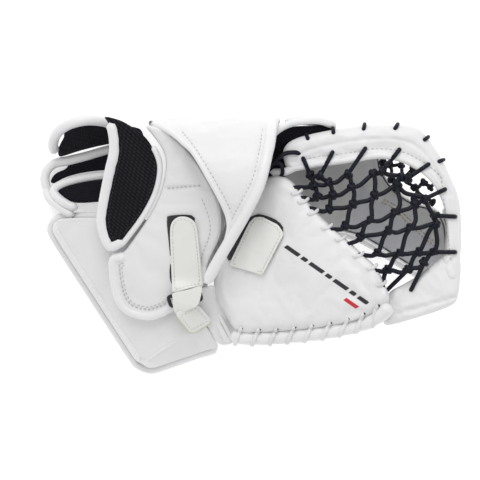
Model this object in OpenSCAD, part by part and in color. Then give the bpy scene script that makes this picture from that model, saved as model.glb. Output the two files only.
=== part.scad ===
// Goalie catch glove, youth size, for the left hand.
// It lies on the back of its fingers with the thumb side up: +X runs to the finger tips, +Y to the back of the hand.

/* [Cuff] */
// Foam in the cuff board
cuff_foam_t = 14; // [8:1:18]
// Leather on each face of the cuff board
leather_t = 2; // [1:0.5:3]
// Width of the bound edge round the cuff board
cuff_bind_w = 5; // [3:1:8]
// How steeply the cuff board rises to the wrist, in degrees
cuff_tilt = 24; // [20:1:25]

/* [Wrist] */
// Thickness of the wrist wrap and of the mesh lip beside it
wrap_t = 8; // [5:1:9]
// Width of the bound edges at the wrist
wrap_bind_w = 8; // [5:1:9]
// Thickness of the padded lobes behind the wrist
lobe_t = 7; // [5:1:8]

/* [Straps] */
// Thickness of a strap
strap_t = 2.5; // [1.5:0.5:3]
// Thickness of a hook and loop patch
patch_t = 1.2; // [1:0.1:1.5]
// Thickness of the bar of the strap ring
ring_d = 3; // [2:0.5:3]

/* [Thumb] */
// Foam in the thumb board
thumb_foam_t = 18; // [10:1:20]
// Thickness of the quilted thumb cover
thumb_cover_t = 5; // [3:1:6]
// Diameter of the roll along the thumb's lower edge
roll_d = 10; // [7:1:11]

/* [Fingers] */
// Thickness of the padded back of the fingers
finger_back_t = 8; // [5:1:8]
// Bore of one finger stall
stall_d = 17; // [14:1:18]
// Thickness of the wall between the finger board and the rim
wall_t = 6; // [4:1:8]

/* [Rim and web] */
// Thickness of the padded rim
rim_t = 13; // [9:1:14]
// Diameter of the web lace
lace_d = 4; // [3:0.5:4.5]
// How far the web bulges to the back of the glove
web_bulge = 12; // [6:1:15]

/* [Backhand] */
// Thickness of the backhand shell
shell_t = 6; // [4:1:7]
// Thickness of the lining under the shell
lining_t = 2; // [1:0.5:3]

/* [Hidden] */

// Running gap between layers of one board, and between boards.
gap = 0.3;
// Stiffener sheet in each board.
stiff_t = 2;

// Planes that the boards lie on: a point, the direction it rises in, and how steeply.
cuff_plane = [[-164, 12, 2], 33, cuff_tilt];
wrap_plane = [[-83, -61, 41], 47, 22];
thumb_plane = [[-30, 0, 42], 15, 22];
rim_plane = [[30, 70, 74], 0, 5];
tab_plane = [[-45, -66, 56.5], 117, 30];

// Outlines as seen from above.
cuff_line = [[-153, 25], [-161, 20], [-164, 12], [-159, 1], [-130, -44], [-98, -93], [-91, -101],
  [-79, -105], [-62, -100], [-40, -92], [-25, -86], [-31, -72], [-49, -42], [-60, -18], [-72, 8],
  [-86, 22], [-100, 26], [-125, 26]];
wrap_line = [[-100, -5], [-111, -9], [-112, -24], [-108, -44], [-99, -56], [-83, -61], [-71, -59],
  [-59, -53], [-46, -44], [-37, -34], [-32, -12], [-25, 12], [-31, 36], [-47, 64], [-57, 76],
  [-68, 86], [-66, 70], [-66, 56], [-70, 40], [-78, 23], [-89, 8]];
lip_line = [[-119, 104], [-112, 93], [-110, 76], [-114, 58], [-120, 28], [-120, 12], [-113, -4],
  [-102, -2], [-93, 8], [-82, 23], [-73, 40], [-69, 56], [-70, 69], [-78, 84], [-88, 93], [-102, 101]];
lobe_lines = [
  [[-160, 47], [-162, 43], [-155, 36], [-145, 30], [-135, 29], [-120, 30], [-96, 31], [-84, 33],
    [-80, 57], [-115, 58], [-135, 56], [-151, 52]],
  [[-159, 50], [-150, 55], [-135, 59], [-115, 61], [-82, 61], [-80, 81], [-111, 80], [-135, 75],
    [-157, 69], [-165, 63], [-168, 53]],
  [[-158, 72], [-135, 78], [-111, 83], [-84, 84], [-84, 97], [-106, 102], [-120, 105], [-136, 104],
    [-148, 100], [-156, 93], [-161, 82]]
];
lobe_planes = [[[-120, 58, 4], -90, 28], [[-120, 60, 0.6], 0, 0], [[-120, 79.5, 3.5], 99, 56]];

wrist_strap_line = [[-62, 17], [-58, 21], [-46, 21], [-41, 17], [-37, -30], [-60, -36]];
wrist_patch_line = [[-65, 19], [-62, 23], [-44, 23], [-43, 15], [-40, -27], [-60, -32]];
anchor_line = [[-57, -56], [-45, -72], [-29, -62], [-41, -49]];

thumb_line = [[-8, -70], [10, -70.5], [33, -69], [58, -66], [80, -61.5], [96, -56], [106, -50],
  [111, -43], [108, -34], [101, -19], [93, -11], [77, 4], [61, 18], [45, 36], [36, 48], [29, 53],
  [20, 54], [8, 50], [-5, 32], [-17, 5], [-25, -20], [-27, -38], [-18, -56]];
hand_strap_line = [[-16, -16], [1, 18], [11, 22], [23, 16], [28, 8], [11, -24]];
hand_patch_line = [[-19, -14], [-1, 20], [10, 24], [25, 17], [27, 6], [10, -20]];

back_line = [[-64, -8], [-50, -26], [-20, -30], [20, -10], [50, 6], [87, 2], [125, -21], [148, -33],
  [162, -24], [166, 0], [165, 17], [152, 31], [136, 37], [122, 46], [112, 60], [108, 76], [102, 88],
  [90, 91], [66, 89], [40, 95], [0, 98], [-40, 98], [-61, 95], [-64, 80]];
board_line = [[-60, 0], [-46, -18], [-20, -22], [18, -2], [50, 13], [88, 9], [126, -13], [148, -25],
  [158, -16], [159, 0], [157, 17], [149, 27], [133, 32], [118, 42], [107, 57], [103, 72], [97, 82],
  [84, 84], [60, 83], [20, 88], [-30, 88], [-58, 86], [-61, 70]];
palm_pad_line = [[-42, -32], [-34, -37], [-31, -20], [-23, 5], [-11, 32], [2, 50], [12, 58], [4, 66],
  [-8, 54], [-21, 36], [-33, 8], [-40, -16]];
rim_line = [[30, 60], [27, 70], [29, 79], [41, 86], [69, 92], [92, 95], [118, 95], [133, 93],
  [142, 85], [154, 67], [161, 52], [167, 36], [169, 12], [168, -11], [165, -28], [156, -27],
  [152, -13], [157, -4], [157, 16], [154, 32], [146, 48], [135, 58], [119, 66], [101, 68], [81, 65], [57, 62],
  [34, 58]];
tip_line = [[165, -30], [164, -38], [155, -46], [137, -55], [117, -62], [114, -55], [116, -46],
  [114, -38], [121, -33], [133, -25], [149, -14], [155, -29]];
upper_wall_path = [[35, 76], [45, 81], [69, 86], [88, 88.5], [104, 89]];
side_wall_path = [[160, 30], [163, 12], [162, -10], [159, -24]];
knuckle_line = [[35, 96], [46, 97], [58, 95], [69, 93.5], [60, 98], [46, 102], [35, 102]];
knuckle_lining_line = [[29, 83], [40, 87.5], [54, 90.5], [66, 93], [57, 94.5], [44, 96.5], [29, 94.5]];
shell_line = [[-71, 101], [-71, 97], [-59, 88], [-47, 72], [-35, 52], [-24, 32], [-18, 16], [-22, 0],
  [-29, -18], [-35, -31], [-31, -30], [-23, -16], [-14, 0], [-5, 16], [2, 30], [8, 44], [12, 57],
  [16, 70], [19, 82], [22, 91], [23, 101]];

// Knots of the web, as seen from above, and the knots that each strand joins.
web_knots = [[49, 55], [57, 55], [79, 56], [64, 49], [52, 47], [82, 45], [67, 39], [55, 38], [83, 32],
  [100, 39], [64, 28], [99, 56], [77, 15], [97, 19], [116, 25], [118, 48], [88, 6], [111, 11],
  [128, 13], [148, 17], [102, -7], [120, -7], [135, -6], [147, -6], [110, -20], [126, -20],
  [139, -14], [139, 36], [121, 54], [106, 58], [127, 53], [147.5, 23], [132, 32], [41, 49], [46, 42],
  [53, 31], [68, 17], [81, 5], [92, -5], [105, -18], [112, -29]];
web_strands = [[0, 1], [0, 4], [1, 3], [3, 2], [2, 5], [3, 6], [3, 4], [4, 33], [4, 7], [7, 34],
  [7, 6], [6, 5], [6, 10], [5, 8], [5, 11], [11, 29], [11, 9], [9, 15], [9, 8], [9, 13], [8, 10],
  [10, 35], [8, 12], [12, 36], [12, 13], [13, 14], [13, 16], [14, 15], [14, 17], [17, 16], [16, 37],
  [17, 18], [17, 20], [18, 19], [18, 32], [32, 27], [32, 14], [18, 21], [19, 22], [20, 21],
  [21, 22], [22, 23], [23, 19], [23, 26], [26, 25], [25, 24], [22, 25], [20, 38], [21, 24],
  [24, 39], [24, 40], [19, 31], [31, 27], [29, 28], [28, 30], [28, 15], [15, 27]];
// The far web fills the corner between the finger board and the rim.
far_knots = [[113, 64, 62], [115, 52, 50], [124, 54, 62], [133, 46, 56], [140, 50, 66], [131, 60, 68],
  [108, 66, 48], [119, 46, 40], [134, 37, 40], [148, 34, 50], [146, 46, 68], [122, 64, 70]];
far_strands = [[0, 1], [1, 2], [2, 3], [3, 4], [2, 5], [4, 10], [3, 8], [1, 7], [0, 6], [3, 9], [0, 11],
  [2, 11]];

function turned(p) = [for (i = [len(p) - 1 : -1 : 0]) p[i]];
function twice_area(p) = let (m = len(p))
  [for (i = [0 : m - 1]) cross(p[i], p[(i + 1) % m])] * [for (i = [0 : m - 1]) 1];
function ccw(p) = twice_area(p) > 0 ? p : turned(p);

function spline(a, b, c, d, t) = 0.5 * (2 * b + (c - a) * t + (2 * a - 5 * b + 4 * c - d) * t * t
  + (3 * b - a - 3 * c + d) * t * t * t);
function smooth(p, n = 3) = let (m = len(p), q = ccw(p))
  [for (i = [0 : m - 1]) for (k = [0 : n - 1])
    spline(q[(i + m - 1) % m], q[i], q[(i + 1) % m], q[(i + 2) % m], k / n)];

// Height over the floor of a plane at a point.
function plane_z(plane, p) = plane[0][2] + tan(plane[2])
  * ((p[0] - plane[0][0]) * cos(plane[1]) + (p[1] - plane[0][1]) * sin(plane[1]));

// A tall prism of an outline, drawn in by a margin.
module prism(line, margin = 0) {
  translate([0, 0, -20])
    linear_extrude(height = 240)
      if (margin > 0)
        offset(delta = -margin) polygon(line);
      else
        polygon(line);
}

module slab(plane, off, t) {
  translate(plane[0])
    rotate([0, -plane[2], plane[1]])
      translate([-400, -400, off])
        cube([800, 800, t]);
}

// A flat piece of a board: an outline cut from one layer of its plane.
module layer(line, plane, off, t, margin = 0) {
  intersection() {
    slab(plane, off, t);
    prism(line, margin);
  }
}

// A bound edge: the outer band of an outline.
module edge_band(line, plane, off, t, w) {
  intersection() {
    slab(plane, off, t);
    difference() {
      prism(line);
      prism(line, w);
    }
  }
}

module level(line, z0, z1) {
  translate([0, 0, z0])
    linear_extrude(height = z1 - z0)
      polygon(line);
}

// A cord along points.
module cord(points, d) {
  for (i = [0 : len(points) - 2])
    hull() {
      translate(points[i]) sphere(d = d, $fn = 6);
      translate(points[i + 1]) sphere(d = d, $fn = 6);
    }
}

// Finger side.
board_z = finger_back_t + gap;
sheet_t = 2.5;
stall_wall = 3;
stall_t = stall_d + 2 * sheet_t;
module finger_back() {
  color("white") level(smooth(back_line), 0, finger_back_t);
}

module stall_floor() {
  color("dimgray") level(smooth(board_line), board_z, board_z + sheet_t);
}

module stall_walls() {
  color("dimgray")
    intersection() {
      level(smooth(board_line), board_z + sheet_t, board_z + sheet_t + stall_d);
      for (i = [0 : 4])
        translate([-100, 5 + i * (stall_d + stall_wall), 0])
          cube([300, stall_wall, 100]);
    }
}

module stall_roof() {
  color("dimgray")
    level(smooth(board_line), board_z + sheet_t + stall_d, board_z + stall_t);
}

stiff_z = board_z + stall_t + gap;
module finger_stiffener() {
  color("gainsboro") level(smooth(board_line), stiff_z, stiff_z + stiff_t);
}

palm_z = stiff_z + stiff_t + gap;
module finger_palm() {
  color("whitesmoke") level(smooth(board_line), palm_z, palm_z + leather_t);
}

wall_z = palm_z + leather_t + gap;
// A wall along a path, from the back of the fingers up to the rim.
module wall(path) {
  n = len(path);
  side = [for (i = [0 : n - 1]) let (t = path[min(i + 1, n - 1)] - path[max(i - 1, 0)])
    wall_t / 2 * [-t[1], t[0]] / norm(t)];
  ring = concat([for (i = [0 : n - 1]) path[i] + side[i]],
    [for (i = [n - 1 : -1 : 0]) path[i] - side[i]]);
  difference() {
    level(ring, board_z, 120);
    slab(rim_plane, -gap, 200);
    translate([0, 0, board_z - 1])
      linear_extrude(height = wall_z - board_z + 1)
        offset(delta = gap)
          polygon(smooth(board_line));
  }
}

module upper_wall() {
  color("white") wall(upper_wall_path);
}

module side_wall() {
  color("white") wall(side_wall_path);
}

module palm_pad() {
  color("whitesmoke") level(smooth(palm_pad_line), wall_z, 54);
}

module knuckle_pad() {
  color("white") level(knuckle_line, board_z, 84);
}

module knuckle_lining() {
  color("dimgray")
    difference() {
      level(knuckle_lining_line, board_z, 80);
      translate([0, 0, board_z - 1])
        linear_extrude(height = wall_z - board_z + 1)
          polygon(smooth(board_line));
    }
}

// Rim and web.
module rim_band() {
  color("white") layer(smooth(rim_line), rim_plane, 0, rim_t);
}

module rim_tip_panel() {
  color("white") layer(smooth(tip_line), rim_plane, 0, rim_t);
}

function rim_top(p) = plane_z(rim_plane, p) + rim_t / cos(rim_plane[2]) + lace_d / 2 + gap;
rim_entries = [[[46, 63], [43, 69]], [[62, 64], [67, 74]], [[84, 67], [93, 76]], [[107, 68], [120, 76]],
  [[134, 58], [144, 64]], [[146, 40], [156, 44]], [[155, 20], [164, 22]], [[156, -5], [164, -6]]];
rim_nubs = [[46, 87], [67, 92], [92, 95], [118, 95], [142, 85], [154, 67], [162, 50], [168, 27]];
module rim_lace() {
  color("black")
    union() {
      for (e = rim_entries)
        cord([[e[0][0], e[0][1], rim_top(e[0])], [e[1][0], e[1][1], rim_top(e[1])]], lace_d);
      for (i = [0 : len(rim_nubs) - 1]) {
        p = rim_nubs[i];
        inner = p + 5 * [99 - p[0], 20 - p[1]] / norm([99 - p[0], 20 - p[1]]);
        cord([[p[0], p[1], rim_top(p)], [inner[0], inner[1], rim_top(inner)]], lace_d);
      }
    }
}

function web_z(p) = 91 + 0.06 * (p[0] - 100) - 0.12 * (p[1] - 20)
  + web_bulge * max(0, 1 - pow((p[0] - 100) / 60, 2) - pow((p[1] - 22) / 45, 2));
function at_web(i) = [web_knots[i][0], web_knots[i][1], web_z(web_knots[i])];
module web_net() {
  color("black")
    union() {
      for (e = web_strands)
        cord([at_web(e[0]), at_web(e[1])], lace_d);
      for (i = [0 : 32])
        translate(at_web(i))
          sphere(d = 1.6 * lace_d, $fn = 8);
    }
}

module far_web() {
  color("black")
    union()
      for (e = far_strands)
        cord([far_knots[e[0]], far_knots[e[1]]], lace_d - 0.5);
}

// Thumb side.
thumb_z1 = leather_t + gap;
thumb_z2 = thumb_z1 + stiff_t + gap;
thumb_z3 = thumb_z2 + thumb_foam_t + gap;
thumb_top = thumb_z3 + thumb_cover_t;
thumb_margin = 3;

module thumb_palm() {
  color("whitesmoke") layer(smooth(thumb_line), thumb_plane, 0, leather_t);
}

module thumb_stiffener() {
  color("gainsboro") layer(smooth(thumb_line), thumb_plane, thumb_z1, stiff_t, thumb_margin);
}

module thumb_foam() {
  color("lightgray") layer(smooth(thumb_line), thumb_plane, thumb_z2, thumb_foam_t, thumb_margin);
}

module thumb_panel() {
  color("white") layer(smooth(thumb_line), thumb_plane, thumb_z3, thumb_cover_t);
}

// Point on the thumb's plane, lifted off it.
function on_thumb(p, lift) = [p[0], p[1], plane_z(thumb_plane, p) + lift];
roll_path = [[-8, -76], [10, -76.2], [33, -74.6], [58, -71.6], [82, -67], [98, -61]];
module thumb_roll() {
  color("white")
    union()
      for (i = [0 : len(roll_path) - 2])
        hull() {
          translate(on_thumb(roll_path[i], 16)) sphere(d = roll_d, $fn = 14);
          translate(on_thumb(roll_path[i + 1], 16)) sphere(d = roll_d, $fn = 14);
        }
}

whip_holes = [[-6, -67], [8, -67.5], [22, -67], [36, -65.6], [50, -64], [64, -61.8], [78, -59]];
module thumb_lace() {
  over = thumb_top / cos(thumb_plane[2]);
  color("white")
    union()
      for (h = whip_holes)
        cord([on_thumb(h, over + 3), on_thumb(h - [2, 5], over + 2.2),
          on_thumb(h - [5, 12], over - 6)], 2.6);
}

module heel_roll() {
  color("white")
    hull() {
      translate([-36, -42, 48.5]) sphere(d = 7, $fn = 16);
      translate([-16, -79, 48.5]) sphere(d = 7, $fn = 16);
    }
}

module hand_strap_patch() {
  color("dimgray") layer(ccw(hand_patch_line), thumb_plane, thumb_top + gap, patch_t);
}

module hand_strap() {
  color("ivory") layer(ccw(hand_strap_line), thumb_plane, thumb_top + patch_t + 2 * gap, strap_t);
}

// Backhand shell: a roof that slopes to the wrist side and turns down at the back of the hand.
arch_y = 52;
arch_z = 75;
arch_r = 48;
roof = 26;
function arch(r, drop) = concat(
  [[-60, arch_z + r * sin(90 + roof) - (arch_y + 60 + r * cos(90 + roof)) * tan(roof)]],
  [for (a = [90 + roof : -9.6667 : -0.01]) [arch_y + r * cos(a), arch_z + r * sin(a)]],
  [[arch_y + r, drop]]);
module roof_slab(r0, r1, drop) {
  translate([-80, 0, 0])
    rotate([90, 0, 90])
      linear_extrude(height = 120)
        polygon(concat(arch(r1, drop), turned(arch(r0, drop))));
}

module backhand_shell() {
  color("white")
    intersection() {
      roof_slab(arch_r - shell_t, arch_r, 10);
      prism(smooth(shell_line), 2.5);
    }
}

module shell_binding() {
  color("white")
    intersection() {
      roof_slab(arch_r - shell_t - 0.5, arch_r + 1, 9.5);
      difference() {
        prism(smooth(shell_line));
        prism(smooth(shell_line), 2.5);
      }
    }
}

module shell_lining() {
  color("dimgray")
    intersection() {
      roof_slab(arch_r - shell_t - gap - lining_t, arch_r - shell_t - gap, 12);
      prism(smooth(shell_line), 3);
    }
}

// Cuff board.
cuff_z1 = leather_t + gap;
cuff_z2 = cuff_z1 + stiff_t + gap;
cuff_z3 = cuff_z2 + cuff_foam_t + gap;
cuff_out = smooth(cuff_line);
cuff_margin = cuff_bind_w + gap;

module cuff_back() {
  color("white") layer(cuff_out, cuff_plane, 0, leather_t, cuff_margin);
}

module cuff_stiffener() {
  color("gainsboro") layer(cuff_out, cuff_plane, cuff_z1, stiff_t, cuff_margin);
}

module cuff_foam() {
  color("lightgray") layer(cuff_out, cuff_plane, cuff_z2, cuff_foam_t, cuff_margin);
}

module cuff_face() {
  color("white") layer(cuff_out, cuff_plane, cuff_z3, leather_t, cuff_margin);
}

module cuff_binding() {
  color("white") edge_band(cuff_out, cuff_plane, -0.8, cuff_z3 + leather_t + 0.8, cuff_bind_w);
}

// Wrist.
wrap_out = smooth(wrap_line);
lip_out = smooth(lip_line);

module wrist_wrap() {
  color("white") layer(wrap_out, wrap_plane, 0.5, wrap_t - 1, wrap_bind_w / 2 + gap);
}

module wrap_binding() {
  color("white") edge_band(wrap_out, wrap_plane, 0, wrap_t, wrap_bind_w / 2);
}

module mesh_lip() {
  color("dimgray") layer(lip_out, wrap_plane, 0.5, wrap_t + 1, wrap_bind_w - 2 + gap);
}

module lip_binding() {
  color("white") edge_band(lip_out, wrap_plane, 0, wrap_t + 1, wrap_bind_w - 2);
}

module lobe(i) {
  layer(smooth(lobe_lines[i]), lobe_planes[i], 0.4, lobe_t - 1, 4 + gap);
}

module lobe_lower() {
  color("dimgray") lobe(0);
}

module lobe_middle() {
  color("dimgray") lobe(1);
}

module lobe_upper() {
  color("dimgray") lobe(2);
}

module lobe_binding() {
  color("white")
    for (i = [0 : 2])
      edge_band(smooth(lobe_lines[i]), lobe_planes[i], i == 1 ? -0.6 : 0, lobe_t, 4);
}

// Wrist strap, its ring and the tab that holds the ring.
module wrist_strap_patch() {
  color("dimgray") layer(ccw(wrist_patch_line), wrap_plane, wrap_t + gap, patch_t);
}

module wrist_strap() {
  color("ivory") layer(ccw(wrist_strap_line), wrap_plane, wrap_t + patch_t + 2 * gap, strap_t);
}

ring_line = [[-66, -41], [-38, -35], [-36, -45], [-61, -51]];
module strap_ring() {
  color("black")
    edge_band(ccw(ring_line), wrap_plane, wrap_t + patch_t + strap_t + 3 * gap, ring_d, ring_d);
}

module strap_anchor() {
  color("ivory") layer(ccw(anchor_line), tab_plane, 0, strap_t);
}

finger_back();
stall_floor();
stall_walls();
stall_roof();
finger_stiffener();
finger_palm();
upper_wall();
side_wall();
palm_pad();
knuckle_pad();
knuckle_lining();
rim_band();
rim_tip_panel();
rim_lace();
web_net();
far_web();
thumb_palm();
thumb_stiffener();
thumb_foam();
thumb_panel();
thumb_roll();
thumb_lace();
heel_roll();
hand_strap_patch();
hand_strap();
backhand_shell();
shell_binding();
shell_lining();
cuff_back();
cuff_stiffener();
cuff_foam();
cuff_face();
cuff_binding();
wrist_wrap();
wrap_binding();
mesh_lip();
lip_binding();
lobe_lower();
lobe_middle();
lobe_upper();
lobe_binding();
wrist_strap_patch();
wrist_strap();
strap_ring();
strap_anchor();
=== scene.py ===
import math

import bmesh
import bpy
import numpy as np
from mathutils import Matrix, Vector
from mathutils.bvhtree import BVHTree
from mathutils.geometry import delaunay_2d_cdt


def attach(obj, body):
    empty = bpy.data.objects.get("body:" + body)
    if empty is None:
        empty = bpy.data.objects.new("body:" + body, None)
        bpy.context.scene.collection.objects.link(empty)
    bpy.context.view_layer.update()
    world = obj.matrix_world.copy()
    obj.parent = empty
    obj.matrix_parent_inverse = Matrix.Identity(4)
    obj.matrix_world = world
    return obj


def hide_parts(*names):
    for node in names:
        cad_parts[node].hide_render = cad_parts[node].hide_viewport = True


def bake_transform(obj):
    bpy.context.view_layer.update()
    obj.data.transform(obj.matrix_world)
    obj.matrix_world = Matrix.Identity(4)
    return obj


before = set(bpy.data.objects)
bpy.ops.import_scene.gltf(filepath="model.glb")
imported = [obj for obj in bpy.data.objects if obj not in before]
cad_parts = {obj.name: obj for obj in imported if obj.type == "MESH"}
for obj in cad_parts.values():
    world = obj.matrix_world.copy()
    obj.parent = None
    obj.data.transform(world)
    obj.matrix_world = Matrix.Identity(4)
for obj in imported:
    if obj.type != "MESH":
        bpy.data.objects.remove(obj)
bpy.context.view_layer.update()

# All builders below work in millimetres; mesh_piece turns them into metres.
MM = 0.001
scene = bpy.context.scene


# ---------------------------------------------------------------- camera, light, floor
def camera_and_light():
    cam = bpy.data.cameras.new("camera")
    cam.lens = 281
    cam.sensor_width = 36
    eye = bpy.data.objects.new("camera", cam)
    eye.location = (-0.0068, 0.0036, 3.06)
    scene.collection.objects.link(eye)
    scene.camera = eye
    for name, at, size, power, tint in (
        ("key", (-0.3, 1.4, 1.7), 1.2, 19, (1, 1, 0.995)),
        ("fill", (1.2, -0.3, 1.7), 1.6, 4, (0.97, 0.98, 1)),
        ("low", (-0.6, -1.5, 1.0), 1.2, 2, (1, 0.99, 0.98)),
    ):
        lamp = bpy.data.lights.new(name, "AREA")
        lamp.size = size
        lamp.energy = power
        lamp.color = tint
        o = bpy.data.objects.new(name, lamp)
        o.location = at
        o.rotation_euler = (Vector((0, 0, 0.05)) - Vector(at)).to_track_quat("-Z", "Y").to_euler()
        scene.collection.objects.link(o)
    world = bpy.data.worlds.new("world")
    scene.world = world
    world.use_nodes = True
    world.node_tree.nodes["Background"].inputs[0].default_value = (0.985, 0.985, 1, 1)
    world.node_tree.nodes["Background"].inputs[1].default_value = 0.67
    scene.view_settings.view_transform = "Standard"


# ---------------------------------------------------------------- materials
class Nodes:
    def __init__(self, name):
        self.mat = bpy.data.materials.new(name)
        self.mat.use_nodes = True
        self.tree = self.mat.node_tree
        self.shader = self.tree.nodes["Principled BSDF"]
        self.coord = self.tree.nodes.new("ShaderNodeTexCoord")
        self.normal = None

    def add(self, kind, **inputs):
        n = self.tree.nodes.new(kind)
        for k, v in inputs.items():
            k = k.replace("_", " ")
            if isinstance(v, bpy.types.NodeSocket):
                self.tree.links.new(v, n.inputs[k])
            else:
                n.inputs[k].default_value = v
        return n

    def link(self, a, b):
        self.tree.links.new(a, b)

    def placed(self, scale=(1, 1, 1), turn=(0, 0, 0), uv=False):
        m = self.add("ShaderNodeMapping", Scale=scale, Rotation=turn)
        self.link(self.coord.outputs["UV" if uv else "Object"], m.inputs["Vector"])
        return m.outputs[0]

    def noise(self, scale, detail=3, rough=0.55, at=None):
        n = self.add("ShaderNodeTexNoise", Scale=scale, Detail=detail, Roughness=rough)
        self.link(at or self.placed(), n.inputs["Vector"])
        return n.outputs["Fac"]

    def ramp(self, value, *stops):
        n = self.tree.nodes.new("ShaderNodeValToRGB")
        self.link(value, n.inputs[0])
        e = n.color_ramp.elements
        while len(e) < len(stops):
            e.new(0.5)
        for i, (p, c) in enumerate(stops):
            e[i].position = p
            e[i].color = (*c, 1) if len(c) == 3 else (c[0], c[0], c[0], 1)
        return n.outputs[0]

    def math(self, op, a, b=0.0):
        n = self.tree.nodes.new("ShaderNodeMath")
        n.operation = op
        for i, v in enumerate((a, b)):
            if isinstance(v, bpy.types.NodeSocket):
                self.link(v, n.inputs[i])
            else:
                n.inputs[i].default_value = v
        return n.outputs[0]

    def mix(self, value, a, b):
        n = self.tree.nodes.new("ShaderNodeMix")
        n.data_type = "RGBA"
        self.link(value, n.inputs[0])
        for i, v in ((6, a), (7, b)):
            if isinstance(v, bpy.types.NodeSocket):
                self.link(v, n.inputs[i])
            else:
                n.inputs[i].default_value = (*v, 1)
        return n.outputs[2]

    def bump(self, height, strength, distance):
        n = self.add("ShaderNodeBump", Strength=strength, Distance=distance)
        self.link(height, n.inputs["Height"])
        if self.normal:
            self.link(self.normal, n.inputs["Normal"])
        self.normal = n.outputs[0]

    def done(self, color, rough, **consts):
        self.link(color, self.shader.inputs["Base Color"])
        self.link(rough, self.shader.inputs["Roughness"])
        self.link(self.normal, self.shader.inputs["Normal"])
        for k, v in consts.items():
            self.shader.inputs[k.replace("_", " ")].default_value = v
        return self.mat


def leather(name, tone, shade, rough=0.4, grain=850, depth=0.00012, fold=0.0007, scuff=0.5):
    """Coated leather: pebble grain, soft unevenness, faint scuffs and a slow change of tone."""
    n = Nodes(name)
    cloud = n.noise(16, 4)
    fine = n.noise(240, 3)
    color = n.mix(n.ramp(cloud, (0.35, (0,)), (0.68, (1,))), tone, shade)
    color = n.mix(n.ramp(fine, (0.56, (0,)), (0.8, (0.22,))), color, [0.86 * c for c in shade])
    streak = n.noise(30, 5, 0.7, n.placed((1, 7, 2), (0.2, 0.1, 0.8)))
    mark = n.ramp(streak, (0.62, (0,)), (0.72, (scuff * 0.3,)))
    color = n.mix(mark, color, [0.8 * c for c in shade])
    rough_map = n.math("ADD", n.math("MULTIPLY", n.noise(70, 4), 0.22), rough - 0.1)
    rough_map = n.math("ADD", rough_map, n.math("MULTIPLY", mark, 0.4))
    v = n.add("ShaderNodeTexVoronoi", Scale=grain)
    v.feature = "DISTANCE_TO_EDGE"
    n.link(n.placed(), v.inputs["Vector"])
    cell = n.ramp(v.outputs["Distance"], (0.0, (0,)), (0.22, (1,)))
    n.bump(n.noise(48, 3), 0.5, fold)
    n.bump(n.noise(190, 3), 0.35, fold * 0.25)
    n.bump(cell, 0.4, depth)
    return n.done(color, rough_map, Specular_IOR_Level=0.5)


def cloth(name, tone, light, pitch, turn, sheen=0.25, depth=0.0004):
    """Ribbed or brushed cloth: two crossing sets of threads over a loose nap."""
    n = Nodes(name)
    waves = []
    for a, p in ((turn, pitch), (turn + 1.2, pitch * 1.5)):
        w = n.add("ShaderNodeTexWave", Scale=6.2832 / (p * 20), Distortion=0.6, Detail=1.0)
        n.link(n.placed((1, 1, 1), (0.2, 0.3, a)), w.inputs["Vector"])
        waves.append(w.outputs["Fac"])
    weave = n.math("MULTIPLY", waves[0], n.math("ADD", n.math("MULTIPLY", waves[1], 0.7), 0.3))
    nap = n.noise(900, 2)
    color = n.mix(weave, tone, light)
    color = n.mix(n.ramp(n.noise(22, 4), (0.35, (0,)), (0.75, (0.5,))), color, tone)
    n.bump(weave, 0.8, depth)
    n.bump(nap, 0.5, 0.0002)
    rough = n.math("ADD", n.math("MULTIPLY", nap, 0.2), 0.72)
    return n.done(color, rough, Sheen_Weight=sheen, Sheen_Roughness=0.5, Specular_IOR_Level=0.15)


def lace(name, tone, light, rough=0.5, turns=3.0, pitch=260.0):
    """Round braided lace: two sets of strands that wind both ways round it, from its own UV."""
    n = Nodes(name)
    sep = n.add("ShaderNodeSeparateXYZ")
    n.link(n.coord.outputs["UV"], sep.inputs[0])
    u = n.math("MULTIPLY", sep.outputs[0], 6.2832 * turns)
    v = n.math("MULTIPLY", sep.outputs[1], pitch * 6.2832)
    a = n.math("SINE", n.math("ADD", u, v))
    b = n.math("SINE", n.math("SUBTRACT", u, v))
    braid = n.math("ADD", n.math("MULTIPLY", n.math("MULTIPLY", a, b), 0.5), 0.5)
    color = n.mix(braid, tone, light)
    color = n.mix(n.ramp(n.noise(60, 3), (0.4, (0,)), (0.7, (0.4,))), color, light)
    n.bump(braid, 0.7, 0.0004)
    n.bump(n.noise(1200, 2), 0.4, 0.0001)
    return n.done(color, n.math("ADD", n.math("MULTIPLY", braid, 0.2), rough - 0.1), Specular_IOR_Level=0.25)


def moulded(name, tone, light, rough=0.4):
    n = Nodes(name)
    color = n.mix(n.noise(40, 4), tone, light)
    n.bump(n.noise(700, 2), 0.4, 0.0001)
    n.bump(n.noise(60, 2), 0.2, 0.0003)
    return n.done(color, n.math("ADD", n.math("MULTIPLY", n.noise(130, 3), 0.25), rough - 0.1))


def hooks(name):
    n = Nodes(name)
    v = n.add("ShaderNodeTexVoronoi", Scale=1100)
    n.link(n.placed(), v.inputs["Vector"])
    color = n.mix(v.outputs["Distance"], (0.035, 0.035, 0.04), (0.006, 0.006, 0.007))
    n.bump(v.outputs["Distance"], 0.9, 0.0005)
    return n.done(color, n.math("ADD", n.math("MULTIPLY", n.noise(300), 0.2), 0.75), Sheen_Weight=0.3)


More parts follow.
